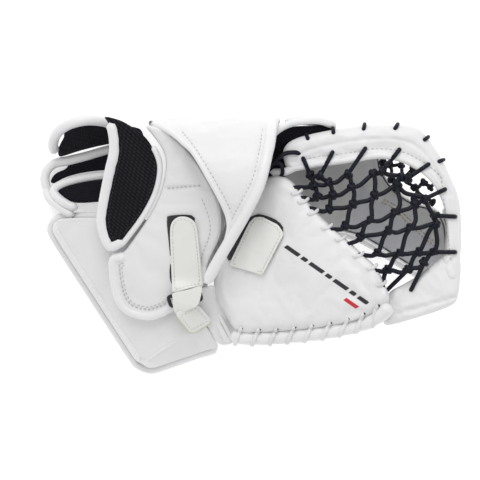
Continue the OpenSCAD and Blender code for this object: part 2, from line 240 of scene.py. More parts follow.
WHITE = leather("white_leather", (0.80, 0.797, 0.798), (0.765, 0.762, 0.765), 0.4)
ROLL = leather("rolled_leather", (0.83, 0.828, 0.828), (0.79, 0.79, 0.792), 0.34, grain=950, fold=0.0005)
STRAP = leather("strap_leather", (0.80, 0.80, 0.765), (0.76, 0.76, 0.73), 0.36, grain=1100, fold=0.0003)
CUT = leather("cut_edge", (0.66, 0.65, 0.48), (0.56, 0.55, 0.40), 0.6, grain=1400, scuff=1)
# Painted shade: the palm inside the pocket is the same white leather, painted darker grey where it lies in
# shade, in a warmer and a cooler shaded copy.
PALM_SHADED_WARM = leather("palm_shade_painted_warm", (0.57, 0.565, 0.555), (0.50, 0.50, 0.495), 0.5, grain=700, scuff=1)
PALM_SHADED_COOL = leather("palm_shade_painted_cool", (0.51, 0.515, 0.54), (0.46, 0.465, 0.49), 0.5, grain=700, scuff=1)
RAWHIDE = leather("rawhide_lace", (0.80, 0.80, 0.80), (0.70, 0.70, 0.69), 0.42, grain=1500, fold=0.0002)
LINING = cloth("black_lining", (0.005, 0.005, 0.008), (0.014, 0.013, 0.019), 0.0016, 0.5, 0.03)
MESH = cloth("black_mesh", (0.003, 0.003, 0.004), (0.026, 0.024, 0.030), 0.0024, 2.35, 0.02, 0.0009)
BLACK_LACE = lace("black_lace", (0.003, 0.003, 0.007), (0.011, 0.012, 0.022))
THREAD = lace("grey_thread", (0.52, 0.52, 0.52), (0.68, 0.68, 0.67), 0.6, 1.0, 900.0)
DARK_THREAD = lace("dark_thread", (0.01, 0.01, 0.012), (0.05, 0.05, 0.055), 0.6, 1.0, 900.0)
BROWN_THREAD = lace("brown_thread", (0.30, 0.22, 0.14), (0.42, 0.33, 0.23), 0.6, 1.0, 900.0)
PLASTIC = moulded("black_plastic", (0.008, 0.008, 0.009), (0.02, 0.02, 0.022))
SHEET = moulded("stiffener_sheet", (0.62, 0.63, 0.65), (0.55, 0.56, 0.58), 0.5)
INK = moulded("printed_dark", (0.012, 0.013, 0.016), (0.03, 0.03, 0.034), 0.35)
RED = moulded("printed_red", (0.62, 0.02, 0.03), (0.50, 0.015, 0.025), 0.35)
HOOKS = hooks("hook_patch")


# ---------------------------------------------------------------- curves and outlines
def smooth(points, n=6, closed=True):
    """A Catmull-Rom curve through points."""
    p = np.asarray(points, float)
    m = len(p)
    if closed:
        g = [np.roll(p, s, 0) for s in (1, 0, -1, -2)]
    else:
        q = np.vstack([2 * p[0] - p[1], p, 2 * p[-1] - p[-2]])
        g = [q[i:i + m - 1] for i in range(4)]
    out = []
    for t in np.arange(n) / n:
        out.append(0.5 * (2 * g[1] + (g[2] - g[0]) * t + (2 * g[0] - 5 * g[1] + 4 * g[2] - g[3]) * t * t
                          + (3 * g[1] - g[0] - 3 * g[2] + g[3]) * t ** 3))
    out = np.stack(out, 1).reshape(-1, p.shape[1])
    return out if closed else np.vstack([out, p[-1]])


def resample(points, step, closed=True):
    p = np.asarray(points, float)
    q = np.vstack([p, p[:1]]) if closed else p
    s = np.concatenate([[0], np.cumsum(np.linalg.norm(np.diff(q, axis=0), axis=1))])
    n = max(3, int(round(s[-1] / step)))
    t = np.linspace(0, s[-1], n + 1)
    t = t[:-1] if closed else t
    return np.stack([np.interp(t, s, q[:, i]) for i in range(q.shape[1])], 1)


def ccw(p):
    x, y = p[:, 0], p[:, 1]
    return p if np.sum(x * np.roll(y, -1) - y * np.roll(x, -1)) > 0 else p[::-1]


def away(points, line, closed=True):
    """Distance of each point from a line."""
    a = np.asarray(line, float)
    b = np.roll(a, -1, 0) if closed else a[1:]
    a = a if closed else a[:-1]
    p = np.asarray(points, float)[:, None, :]
    ab = b - a
    t = np.clip(np.sum((p - a) * ab, 2) / np.maximum(np.sum(ab * ab, 1), 1e-9), 0, 1)
    return np.min(np.linalg.norm(p - a - t[..., None] * ab, axis=2), 1)


def within(points, line):
    x, y = np.asarray(points, float).T
    inside = np.zeros(len(x), bool)
    a, b = line, np.roll(line, -1, 0)
    for (x0, y0), (x1, y1) in zip(a, b):
        if y0 != y1:
            hit = ((y0 > y) != (y1 > y)) & (x < (x1 - x0) * (y - y0) / (y1 - y0) + x0)
            inside ^= hit
    return inside


def inset(line, d):
    """An outline drawn in by d, or out where d is negative, with crossed points dropped."""
    t = np.roll(line, -1, 0) - np.roll(line, 1, 0)
    t /= np.maximum(np.linalg.norm(t, axis=1), 1e-9)[:, None]
    p = line + d * np.stack([-t[:, 1], t[:, 0]], 1)
    return p[away(p, line) > abs(d) * 0.93]


def part_of(line, a, b):
    """The stretch of an outline from nearest a round to nearest b."""
    i = int(np.argmin(np.linalg.norm(line - np.array(a), axis=1)))
    j = int(np.argmin(np.linalg.norm(line - np.array(b), axis=1)))
    return line[i:j + 1] if i <= j else np.vstack([line[i:], line[:j + 1]])


class Plane:
    """A tilted board plane of the CAD model. place lifts a plan point h off it, square to it in height."""

    def __init__(self, x, y, z, azimuth, tilt):
        a, t = math.radians(azimuth), math.radians(tilt)
        self.at = (x, y, z)
        self.rise = math.tan(t) * np.array([math.cos(a), math.sin(a)])
        self.cos = math.cos(t)

    def z(self, p):
        p = np.asarray(p, float)
        return self.at[2] + (p[..., :2] - self.at[:2]) @ self.rise

    def place(self, p, h):
        p = np.asarray(p, float)
        return np.concatenate([p[..., :2], (self.z(p) + h / self.cos)[..., None]], -1)


class Wall:
    """A wall along a path: x is the way along it, y the height, and h stands off it."""

    def __init__(self, path):
        self.path = np.asarray(path, float)
        t = np.gradient(self.path, axis=0)
        self.side = np.stack([t[:, 1], -t[:, 0]], 1) / np.linalg.norm(t, axis=1)[:, None]
        d = np.linalg.norm(np.diff(self.path, axis=0), axis=1)
        self.s = np.concatenate([[0], np.cumsum(d)])
        self.length = self.s[-1]

    def place(self, p, h):
        p = np.asarray(p, float)
        h = np.broadcast_to(np.asarray(h, float), p.shape[:-1])
        x = [np.interp(p[..., 0], self.s, self.path[:, i]) + h * np.interp(p[..., 0], self.s, self.side[:, i])
             for i in (0, 1)]
        return np.stack([x[0], x[1], p[..., 1]], -1)


class Arch:
    """The backhand's arch: x is plan x, y the way over the arch from the wrist side, h stands off it."""

    def __init__(self, cy=52, cz=75, r=48, roof=26, low=10):
        a = np.radians(np.linspace(90 + roof, -9.6667, 40))
        y, z = cy + r * np.cos(a), cz + r * np.sin(a)
        y0 = np.linspace(-60, y[0], 24)[:-1]
        z0 = z[0] - (y[0] - y0) * math.tan(math.radians(roof))
        y = np.concatenate([y0, y, np.linspace(y[-1], cy + r, 20)[1:]])
        z = np.concatenate([z0, z, np.linspace(z[-1], low, 20)[1:]])
        self.y, self.z = y, z
        self.s = np.concatenate([[0], np.cumsum(np.hypot(np.diff(y), np.diff(z)))])
        t = np.stack([np.gradient(y, self.s), np.gradient(z, self.s)], 1)
        self.n = np.stack([-t[:, 1], t[:, 0]], 1) / np.linalg.norm(t, axis=1)[:, None]
        self.length = self.s[-1]

    def over(self, y):
        """Way over the arch of plan depth y, on the roof and the crown."""
        k = int(np.argmax(self.y > 98.5)) or len(self.y)
        return np.interp(y, self.y[:k], self.s[:k])

    def place(self, p, h):
        p = np.asarray(p, float)
        h = np.broadcast_to(np.asarray(h, float), p.shape[:-1])
        y = np.interp(p[..., 1], self.s, self.y) + h * np.interp(p[..., 1], self.s, self.n[:, 0])
        z = np.interp(p[..., 1], self.s, self.z) + h * np.interp(p[..., 1], self.s, self.n[:, 1])
        return np.stack([p[..., 0], y, z], -1)


# ---------------------------------------------------------------- pieces
def mesh_piece(name, verts, faces, mat, body=None, uv=None):
    mesh = bpy.data.meshes.new(name)
    mesh.from_pydata([tuple(v) for v in np.asarray(verts, float) * MM], [], [tuple(f) for f in faces])
    if uv is not None:
        layer = mesh.uv_layers.new(name="UVMap")
        loops = np.zeros(len(mesh.loops), int)
        mesh.loops.foreach_get("vertex_index", loops)
        layer.data.foreach_set("uv", np.asarray(uv, float)[loops].ravel())
    mesh.materials.append(mat)
    mesh.polygons.foreach_set("use_smooth", [True] * len(mesh.polygons))
    o = bpy.data.objects.new(name, mesh)
    scene.collection.objects.link(o)
    if body:
        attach(o, body)
    return o


def fill(line, step, rows):
    """Triangles inside an outline, with rows of points at set distances from its edge."""
    line = ccw(resample(line, step))
    free = [q for d in rows for q in inset(line, d)]
    low, high = line.min(0), line.max(0)
    ys = np.arange(low[1], high[1], step * 0.87)
    grid = [(x, y) for j, y in enumerate(ys) for x in np.arange(low[0] + (j % 2) * step / 2, high[0], step)]
    grid = np.array(grid) if grid else np.zeros((0, 2))
    if len(grid):
        grid = grid[within(grid, line)]
        grid = grid[away(grid, line) > rows[-1] + step * 0.45] if len(grid) else grid
    free = np.array(free) if free else np.zeros((0, 2))
    free = free[within(free, line)] if len(free) else free
    points = np.vstack([line, free, grid])
    n = len(line)
    out = delaunay_2d_cdt([Vector(p) for p in points], [(i, (i + 1) % n) for i in range(n)], [], 1, 1e-4)
    p = np.array([tuple(v) for v in out[0]])
    faces = [f if np.cross(p[f[1]] - p[f[0]], p[f[2]] - p[f[0]]) > 0 else f[::-1] for f in out[2]]
    step_to = {}
    pairs = {(f[i], f[(i + 1) % 3]) for f in faces for i in range(3)}
    for a, b in pairs:
        if (b, a) not in pairs:
            step_to[a] = b
    start = next(iter(step_to))
    loop = [start]
    while step_to[loop[-1]] != start:
        loop.append(step_to[loop[-1]])
    d = away(p, line)
    d[loop] = 0
    return p, faces, loop, d


def edge_round(d, r):
    """How far a rounded edge of radius r lies below the flat at distance d from the edge."""
    return r - np.sqrt(np.maximum(r * r - (r - np.minimum(d, r)) ** 2, 0))


PADS = {}


def pad(name, line, place, under, top, mat, body, r=3, r_under=2, crown=0.0, full=14.0, step=4.0, shape=None,
        bulge=0.6):
    """A padded piece with a rounded edge. place(p, h) puts a point of the outline's plane at height h."""
    p, faces, loop, d = fill(line, step, [0.09 * r, 0.3 * r, 0.62 * r, r])
    swell = crown * (1 - np.exp(-np.maximum(d - r * 0.3, 0) / full))
    up = top - edge_round(d, r) + swell
    if shape:
        up = up + shape(p, d)
    down = under + edge_round(d, r_under)
    n = len(p)
    verts = [place(p, up), place(p, down)]
    tris = [tuple(f) for f in faces] + [tuple(n + i for i in f[::-1]) for f in faces]
    hi, lo = up[loop], down[loop]
    rows = max(1, int(round(float(np.mean(hi - lo)) / step)))
    q = p[loop]
    t = np.roll(q, -1, 0) - np.roll(q, 1, 0)
    out = np.stack([t[:, 1], -t[:, 0]], 1) / np.maximum(np.linalg.norm(t, axis=1), 1e-9)[:, None]
    ring = [np.array(loop)]
    for k in range(1, rows):
        f = k / rows
        verts.append(place(q + out * bulge * math.sin(math.pi * f), hi + (lo - hi) * f))
        ring.append(2 * n + (k - 1) * len(loop) + np.arange(len(loop)))
    ring.append(n + np.array(loop))
    for a, b in zip(ring, ring[1:]):
        for i in range(len(loop)):
            j = (i + 1) % len(loop)
            tris.append((a[i], b[i], b[j], a[j]))
    o = mesh_piece(name, np.vstack(verts), tris, mat, body)
    PADS[name] = {"flat": p, "edge": d, "n": n, "r": r}
    return o


def puff(jobs):
    """Blows up the free upper skin of padded pieces with cloth simulation, and applies it."""
    rest = {}
    for o, pressure, grow, cap, seams in jobs:
        info = PADS[o.name]
        held = info["edge"] < info["r"] * 0.8
        for s in seams:
            held |= away(info["flat"], s, False) < 2.2
            if len(s) > 4:
                held |= within(info["flat"], np.asarray(s, float))
        pins = [i for i in range(info["n"]) if held[i]] + list(range(info["n"], len(o.data.vertices)))
        group = o.vertex_groups.new(name="pin")
        group.add([int(i) for i in pins], 1.0, "REPLACE")
        m = o.modifiers.new("cloth", "CLOTH")
        s = m.settings
        s.quality = 5
        s.mass = 0.3
        s.tension_stiffness = s.compression_stiffness = 18
        s.shear_stiffness = 8
        s.bending_stiffness = 0.6
        s.use_pressure = True
        s.uniform_pressure_force = pressure
        s.shrink_min = -grow
        s.vertex_group_mass = "pin"
        s.effector_weights.gravity = 0
        m.collision_settings.use_collision = False
        m.point_cache.frame_start = 1
        m.point_cache.frame_end = 20
        rest[o.name] = np.array([v.co[:] for v in o.data.vertices])
    for f in range(1, 21):
        scene.frame_set(f)
    deps = bpy.context.evaluated_depsgraph_get()
    for o, pressure, grow, cap, seams in jobs:
        now = np.array([v.co[:] for v in o.evaluated_get(deps).data.vertices])
        move = now - rest[o.name]
        far = np.linalg.norm(move, axis=1)
        print("puff", o.name, "largest move", round(float(far.max()) * 1000, 2), "mm")
        limit = cap * MM
        move *= (limit * np.tanh(far / limit) / np.maximum(far, 1e-9))[:, None]
        o.modifiers.clear()
        o.vertex_groups.clear()
        o.data.vertices.foreach_set("co", (rest[o.name] + move).ravel())
        o.data.update()
    scene.frame_set(1)


def finer(o):
    """One subdivision, applied."""
    m = o.modifiers.new("sub", "SUBSURF")
    m.levels = 1
    m.render_levels = 1
    old = o.data
    new = bpy.data.meshes.new_from_object(o.evaluated_get(bpy.context.evaluated_depsgraph_get()))
    o.modifiers.clear()
    o.data = new
    new.name = old.name
    return o


def grooves(o, lines, depth=0.8, width=1.4):
    """Presses sewn channels into the upper skin. lines are 3D paths on it."""
    co = np.array([v.co[:] for v in o.data.vertices]) / MM
    nor = np.array([v.normal[:] for v in o.data.vertices])
    for line in lines:
        d = away(co, resample(line, 2.0, False), False)
        co = co - nor * (depth * np.exp(-(d / width) ** 2))[:, None]
    o.data.vertices.foreach_set("co", (co * MM).ravel())
    o.data.update()


def surface(*objects):
    """Finds the highest point of pieces over a plan point."""
    trees = []
    for o in objects:
        trees.append(BVHTree.FromPolygons([v.co for v in o.data.vertices],
                                          [tuple(p.vertices) for p in o.data.polygons]))

    def on(points, lift=0.0, guess=None):
        out = []
        for p in np.asarray(points, float):
            best = None
            for t in trees:
                hit = t.ray_cast(Vector((p[0] * MM, p[1] * MM, 0.3)), Vector((0, 0, -1)))
                if hit[0] is not None and (best is None or hit[0].z > best):
                    best = hit[0].z
            z = best / MM if best is not None else (out[-1][2] - lift if out else (guess or 0))
            out.append([p[0], p[1], z + lift])
        return np.array(out)
    return on


def tube_data(path, r, closed=False, sides=10, wide=1.0, up=None, taper=0.0, base=0):
    """A tube along a path. wide flattens it across up. taper rounds its ends in."""
    p = np.asarray(path, float)
    n = len(p)
    t = (np.roll(p, -1, 0) - np.roll(p, 1, 0)) if closed else np.gradient(p, axis=0)
    t /= np.maximum(np.linalg.norm(t, axis=1), 1e-9)[:, None]
    if up is None:
        a = np.cross(t[0], [0, 0, 1])
        a = a if np.linalg.norm(a) > 0.2 else np.cross(t[0], [1, 0, 0])
        sides_v = []
        for k in range(n):
            a = a - t[k] * (a @ t[k])
            a = a / np.linalg.norm(a)
            sides_v.append(a)
        a = np.array(sides_v)
    else:
        a = np.cross(t, np.broadcast_to(np.asarray(up, float), t.shape))
        a /= np.maximum(np.linalg.norm(a, axis=1), 1e-9)[:, None]
    b = np.cross(a, t)
    r = np.broadcast_to(np.asarray(r, float), (n,)).copy()
    s = np.concatenate([[0], np.cumsum(np.linalg.norm(np.diff(p, axis=0), axis=1))])
    if not closed and taper > 0:
        e = np.minimum(s, s[-1] - s)
        r *= np.sqrt(np.clip(1 - (1 - np.minimum(e / taper, 1)) ** 2, 0.02, 1))
    ang = np.linspace(0, 2 * math.pi, sides + 1)
    verts, uv, faces = [], [], []
    m = sides + 1
    for k in range(n):
        ring = p[k] + r[k] * (wide * np.cos(ang)[:, None] * a[k] + np.sin(ang)[:, None] * b[k])
        verts.append(ring)
        uv.append(np.stack([np.linspace(0, 1, m), np.full(m, s[k] * MM)], 1))
    verts, uv = np.vstack(verts), np.vstack(uv)
    for k in range(n if closed else n - 1):
        k2 = (k + 1) % n
        for i in range(sides):
            faces.append((base + k * m + i, base + k2 * m + i, base + k2 * m + i + 1, base + k * m + i + 1))
    if not closed:
        faces.append(tuple(base + i for i in range(sides)))
        faces.append(tuple(base + (n - 1) * m + i for i in reversed(range(sides))))
    return verts, faces, uv


def tubes(name, paths, mat, body, **keys):
    """Many tubes in one piece. Each path is (points, radius) or (points, radius, options)."""
    verts, faces, uv, base = [], [], [], 0
    for item in paths:
        opts = dict(keys)
        if len(item) > 2:
            opts.update(item[2])
        v, f, u = tube_data(item[0], item[1], base=base, **opts)
        verts.append(v)
        faces += f
        uv.append(u)
        base += len(v)
    o = mesh_piece(name, np.vstack(verts), faces, mat, body, np.vstack(uv))
    m = o.data
    bm = bmesh.new()
    bm.from_mesh(m)
    bmesh.ops.remove_doubles(bm, verts=bm.verts, dist=1e-6)
    bmesh.ops.recalc_face_normals(bm, faces=bm.faces)
    bm.to_mesh(m)
    bm.free()
    return o


def stitches(name, lines, mat, body, pitch=3.6, length=2.3, r=0.42):
    """Rows of thread. lines are 3D paths already on the surface."""
    paths = []
    for line in lines:
        q = resample(line, 0.6, False)
        s = np.arange(len(q)) * 0.6
        for a in np.arange(pitch * 0.4, s[-1] - length, pitch):
            k = (s >= a) & (s <= a + length)
            if k.sum() > 2:
                seg = q[k]
                arc = np.sin(np.linspace(0, math.pi, len(seg)))
                seg = seg + np.array([0, 0, 1]) * (0.35 * arc - 0.25)[:, None]
                paths.append((seg, r))
    return tubes(name, paths, mat, body, sides=5)


# ---------------------------------------------------------------- boards and outlines of the CAD model
CUFF = Plane(-164, 12, 2, 33, 24)
WRAP = Plane(-83, -61, 41, 47, 22)
THUMB = Plane(-30, 0, 42, 15, 22)
RIM = Plane(30, 70, 74, 0, 5)
TAB = Plane(-45, -66, 56.5, 117, 30)
LEVEL = Plane(0, 0, 0, 0, 0)
LOBE = [Plane(-120, 58, 4, -90, 28), Plane(-120, 60, 0.6, 0, 0), Plane(-120, 79.5, 3.5, 99, 56)]
ARCH = Arch()

cuff_line = ccw(smooth([(-153, 25), (-161, 20), (-164, 12), (-159, 1), (-130, -44), (-98, -93), (-91, -101),
    (-79, -105), (-62, -100), (-40, -92), (-25, -86), (-31, -72), (-49, -42), (-60, -18), (-72, 8),
    (-86, 22), (-100, 26), (-125, 26)]))
wrap_line = ccw(smooth([(-100, -5), (-111, -9), (-112, -24), (-108, -44), (-99, -56), (-83, -61), (-71, -59),
    (-59, -53), (-46, -44), (-37, -34), (-32, -12), (-25, 12), (-31, 36), (-47, 64), (-57, 76),
    (-68, 86), (-66, 70), (-66, 56), (-70, 40), (-78, 23), (-89, 8)]))
lip_line = ccw(smooth([(-119, 104), (-112, 93), (-110, 76), (-114, 58), (-120, 28), (-120, 12), (-113, -4),
    (-102, -2), (-93, 8), (-82, 23), (-73, 40), (-69, 56), (-70, 69), (-78, 84), (-88, 93), (-102, 101)]))
lobe_lines = [ccw(smooth(q)) for q in (
    [(-160, 47), (-162, 43), (-155, 36), (-145, 30), (-135, 29), (-120, 30), (-96, 31), (-84, 33),
     (-80, 57), (-115, 58), (-135, 56), (-151, 52)],
    [(-159, 50), (-150, 55), (-135, 59), (-115, 61), (-82, 61), (-80, 81), (-111, 80), (-135, 75),
     (-157, 69), (-165, 63), (-168, 53)],
    [(-158, 72), (-135, 78), (-111, 83), (-84, 84), (-84, 97), (-106, 102), (-120, 105), (-136, 104),
     (-148, 100), (-156, 93), (-161, 82)])]
thumb_line = ccw(smooth([(-8, -70), (10, -70.5), (33, -69), (58, -66), (80, -61.5), (96, -56), (106, -50),
    (111, -43), (108, -34), (101, -19), (93, -11), (77, 4), (61, 18), (45, 36), (36, 48), (29, 53),
    (20, 54), (8, 50), (-5, 32), (-17, 5), (-25, -20), (-27, -38), (-18, -56)]))
back_line = ccw(smooth([(-64, -8), (-50, -26), (-20, -30), (20, -10), (50, 6), (87, 2), (125, -21),
    (148, -33), (162, -24), (166, 0), (165, 17), (152, 31), (136, 37), (122, 46), (112, 60), (108, 76),
    (102, 88), (90, 91), (66, 89), (40, 95), (0, 98), (-40, 98), (-61, 95), (-64, 80)]))
board_line = ccw(smooth([(-60, 0), (-46, -18), (-20, -22), (18, -2), (50, 13), (88, 9), (126, -13),
    (148, -25), (158, -16), (159, 0), (157, 17), (149, 27), (133, 32), (118, 42), (107, 57), (103, 72),
    (97, 82), (84, 84), (60, 83), (20, 88), (-30, 88), (-58, 86), (-61, 70)]))
palm_pad_line = ccw(smooth([(-42, -32), (-34, -37), (-31, -20), (-23, 5), (-11, 32), (2, 50), (12, 58),
    (4, 66), (-8, 54), (-21, 36), (-33, 8), (-40, -16)]))
rim_line = ccw(smooth([(30, 60), (27, 70), (29, 79), (41, 86), (69, 92), (92, 95), (118, 95), (133, 93),
    (142, 85), (154, 67), (161, 52), (167, 36), (169, 12), (168, -11), (165, -28), (156, -27),
    (152, -13), (157, -4), (157, 16), (154, 32), (146, 48), (135, 58), (119, 66), (101, 68), (81, 65),
    (57, 62), (34, 58)]))
tip_line = ccw(smooth([(168, -12), (168, -28), (166.5, -40), (163.5, -47), (152, -52.5), (137, -57.5),
    (118, -63), (108, -64.5), (106, -57), (109, -46), (112, -37), (121, -32), (133, -25), (146, -15),
    (153, -9), (160, -8)]))
rim_outer = part_of(rim_line, (168, -20), (30, 79))
rim_inner = part_of(rim_line, (34, 58.5), (154, -10))


# ---------------------------------------------------------------- wrist side
def build_cuff():
    left = part_of(cuff_line, (-163, 15), (-91, -101))
    low = part_of(cuff_line, (-90, -101.5), (-27, -84))

    def bevel(p, d):
        """The board's sides slope in: a narrow slope on the left, a wide facet at the lower corner."""
        a = np.clip((away(p, left, False) - 4.4) / 4.2, 0, 1)
        w = np.clip(3 + 0.42 * (p[:, 0] + 88), 3, 17)
        b = np.clip((away(p, low, False) - 4.4) / w, 0, 1)
        return -9.5 * (1 - a) - 10.5 * (1 - b) * (a > 0)

    line = inset(cuff_line, 4.4)
    right = np.clip((line[:, 0] + 62) / 20, 0, 1) * np.clip((line[:, 1] + 96) / 8, 0, 1)
    line = line + right[:, None] * np.array([5.2, 1.6])
    board = pad("cuff_board", line, CUFF.place, 0.4, 19.6, WHITE, "cuff", r=1.4, crown=1.0,
                full=20, shape=bevel, step=3.4, bulge=0.2)
    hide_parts("cuff_back", "cuff_stiffener", "cuff_foam", "cuff_face")
    edge = CUFF.place(resample(inset(cuff_line, 2.6), 3), 2.9)
    roll = tubes("cuff_edge_roll", [(edge, 2.9, {"closed": True})], ROLL, "cuff", sides=12)
    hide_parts("cuff_binding")
    return board


def build_wrap():
    wide = ccw(smooth([(-100, -6), (-109, -10), (-110, -24), (-106, -43), (-98, -54), (-83, -59), (-71, -57),
        (-60, -51.5), (-47, -42), (-38, -32.5), (-32, -13), (-22, 10), (-24, 36), (-38, 62), (-50, 78),
        (-60, 86.5), (-70, 92), (-82, 94.5), (-75.5, 86), (-67.5, 74), (-65.5, 64), (-67, 53), (-70.5, 40),
        (-79, 23), (-90, 7)]))
    wrap = pad("wrist_wrap_pad", wide, WRAP.place, 0.5, 6.6, WHITE, "cuff", r=2.6, crown=1.4, full=10,
               step=3.6)
    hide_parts("wrist_wrap")
    inn = inset(wrap_line, 4.0)
    edge = WRAP.place(part_of(inn, (-98, -9), (-36, -15)), 4.4)
    roll = tubes("wrist_wrap_roll", [(resample(edge, 2.5, False), 3.9,
                                      {"wide": 1.05, "up": (0, 0, 1), "taper": 4})],
                 ROLL, "cuff", sides=14)
    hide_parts("wrap_binding")
    return wrap


def build_lip():
    lip = pad("mesh_lip_pad", inset(lip_line, 2.2), WRAP.place, 1.0, 7.4, MESH, "cuff", r=3.2, crown=2.6,
              full=10, step=3.4)
    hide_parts("mesh_lip")
    base = inset(lip_line, 3.8)
    left = part_of(base, (-113, 96), (-98, 2))
    right = part_of(inset(lip_line, 1.6), (-104, -1), (-74, 80))
    left_at = WRAP.place(resample(left, 2.4, False), 5.6)
    right_at = WRAP.place(resample(right, 2.4, False), 6.2)
    k = np.linspace(0, 1, len(left_at))
    roll = tubes("mesh_lip_roll", [
        (left_at, 4.3 - 0.9 * (k > 0.9) * (k - 0.9) * 10, {"wide": 1.1, "up": (0, 0, 1), "taper": 3}),
        (right_at, 2.1, {"taper": 2, "wide": 1.1, "up": (0, 0, 1)})], ROLL, "cuff", sides=14)
    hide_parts("lip_binding")
    return lip


def build_lobes():
    out = []
    names = ("lobe_lower_pad", "lobe_middle_pad", "lobe_upper_pad")
    nodes = ("lobe_lower", "lobe_middle", "lobe_upper")
    lower = ((0, 0), (1.5, -5), (1.5, -5.5))
    for line, plane, name, node, low in zip(lobe_lines, LOBE, names, nodes, lower):
        line = inset(line, 4.6)
        line = line + np.outer(line[:, 1] < line[:, 1].mean() + 2, low)
        o = pad(name, line, plane.place, 0.3, 5.2, LINING, "cuff", r=2.5, crown=1.2, step=3.6, full=8)
        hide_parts(node)
        out.append(o)

    def roll(points, plane, h, r):
        line = resample(smooth(points, closed=False), 2.2, False)
        return plane.place(line, h), r, {"taper": 3.5}

    paths = [
        roll([(-157, 75), (-158.5, 81), (-154.5, 90), (-145, 96.5), (-132, 99.8), (-120, 99.6), (-112, 97.5),
              (-105, 91), (-103, 84)], LOBE[2], 4.0, 4.3),
        roll([(-100, 78), (-112, 77.8), (-132, 72), (-147, 68.2), (-158, 66), (-164.5, 60), (-166, 52.5),
              (-164, 45.5), (-160, 40.5)], LOBE[1], 4.6, 3.9),
        roll([(-98, 56), (-113, 56.4), (-130, 54.6), (-146, 51), (-155, 47), (-158.2, 42.5), (-153.5, 37),
              (-146, 32), (-138, 29.5)], LOBE[0], 4.2, 3.6),
        roll([(-165, 46), (-162, 38), (-154, 31), (-146, 25.5), (-141, 24)], LOBE[0], -0.8, 3.6),
    ]
    o = tubes("lobe_rolls", paths, ROLL, "cuff", sides=14)
    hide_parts("lobe_binding")
    return out, o


# ---------------------------------------------------------------- thumb side
roll_path = smooth([(-14, -75.5), (-2, -76.2), (12, -76.2), (33, -74.6), (58, -71.6), (82, -66.8), (98, -61),
    (106, -55), (111, -49)], closed=False)
whips = [(-6, -66.5), (8, -67.5), (22, -67), (36, -65.6), (50, -64), (64, -61.8), (78, -58.6), (90, -54.5),
    (101, -48)]


def build_thumb():
    tip = np.array([104.0, -50.0])

    def shape(p, d):
        """Puckers where the whip lace pulls the cover down along both laced edges."""
        h = np.zeros(len(p))
        for w in whips:
            v = p - np.array(w)
            h -= 1.3 * np.exp(-(v[:, 0] / 3.0) ** 2 - (v[:, 1] / 5.0) ** 2)
        fan = np.arctan2(p[:, 1] - tip[1], p[:, 0] - tip[0])
        r = np.linalg.norm(p - tip, axis=1)
        h += 1.3 * np.sin(fan * 11) * np.exp(-((r - 22) / 14) ** 2)
        s = (p - np.array([45.0, 40.0])) @ np.array([0.634, -0.773])
        h += 0.7 * np.sin(s * 0.52) * np.exp(-d / 5.0) * (p[:, 0] > 30)
        dip = np.exp(-((p[:, 0] - 5) / 26) ** 2 - ((p[:, 1] + 30) / 22) ** 2)
        return h - 1.2 * dip

    board = pad("thumb_board", inset(thumb_line, 0.5), THUMB.place, 0.3, 26.6, WHITE, "thumb", r=6,
                r_under=2.5, crown=2.4, full=18, shape=shape, step=3.6, bulge=1.0)
    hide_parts("thumb_palm", "thumb_stiffener", "thumb_foam", "thumb_panel")
    path = resample(roll_path, 1.6, False)
    path[:, 1] += 1.6
    at = np.concatenate([path, (THUMB.z(path) + 19.5)[:, None]], 1)
    holes = np.array([(x - 2.5, y - 9) for x, y in whips])
    squeeze = np.ones(len(path))
    for h in holes:
        squeeze -= 0.11 * np.exp(-(np.linalg.norm(path - h, axis=1) / 3.4) ** 2)
    k = np.linspace(0, 1, len(path))
    at[:, 2] += 6 * np.clip((k - 0.8) * 5, 0, 1)
    roll = tubes("thumb_edge_roll", [(at, 5.7 * squeeze, {"taper": 5})], ROLL, "thumb", sides=16)
    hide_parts("thumb_roll")
    a, b = np.array((-36, -42, 48.5)), np.array((-16, -79, 48.5))
    line = a + (b - a) * np.linspace(0, 1, 18)[:, None]
    heel = tubes("heel_seam_roll", [(line, 2.8, {"taper": 3}), (line + (3.6, 1.8, 3.2), 1.6, {"taper": 2})],
                 ROLL, "thumb", sides=12)
    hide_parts("heel_roll")
    fold = ccw(smooth([(-43, -38), (-34, -34), (-26, -34), (-19, -52), (-11, -65), (-8, -75), (-14, -80),
                       (-24, -80), (-32, -68), (-42, -52)], 4))

    def between(p, h):
        z = 51 + 0.36 * (p[..., 1] + 62) - 0.15 * (p[..., 0] + 26) + h
        return np.concatenate([p, z[..., None]], -1)

    gusset = pad("wrist_gusset", fold, between, -5, 0, WHITE, None, r=2, crown=1.0, step=3.4)
    return board, roll, heel, gusset


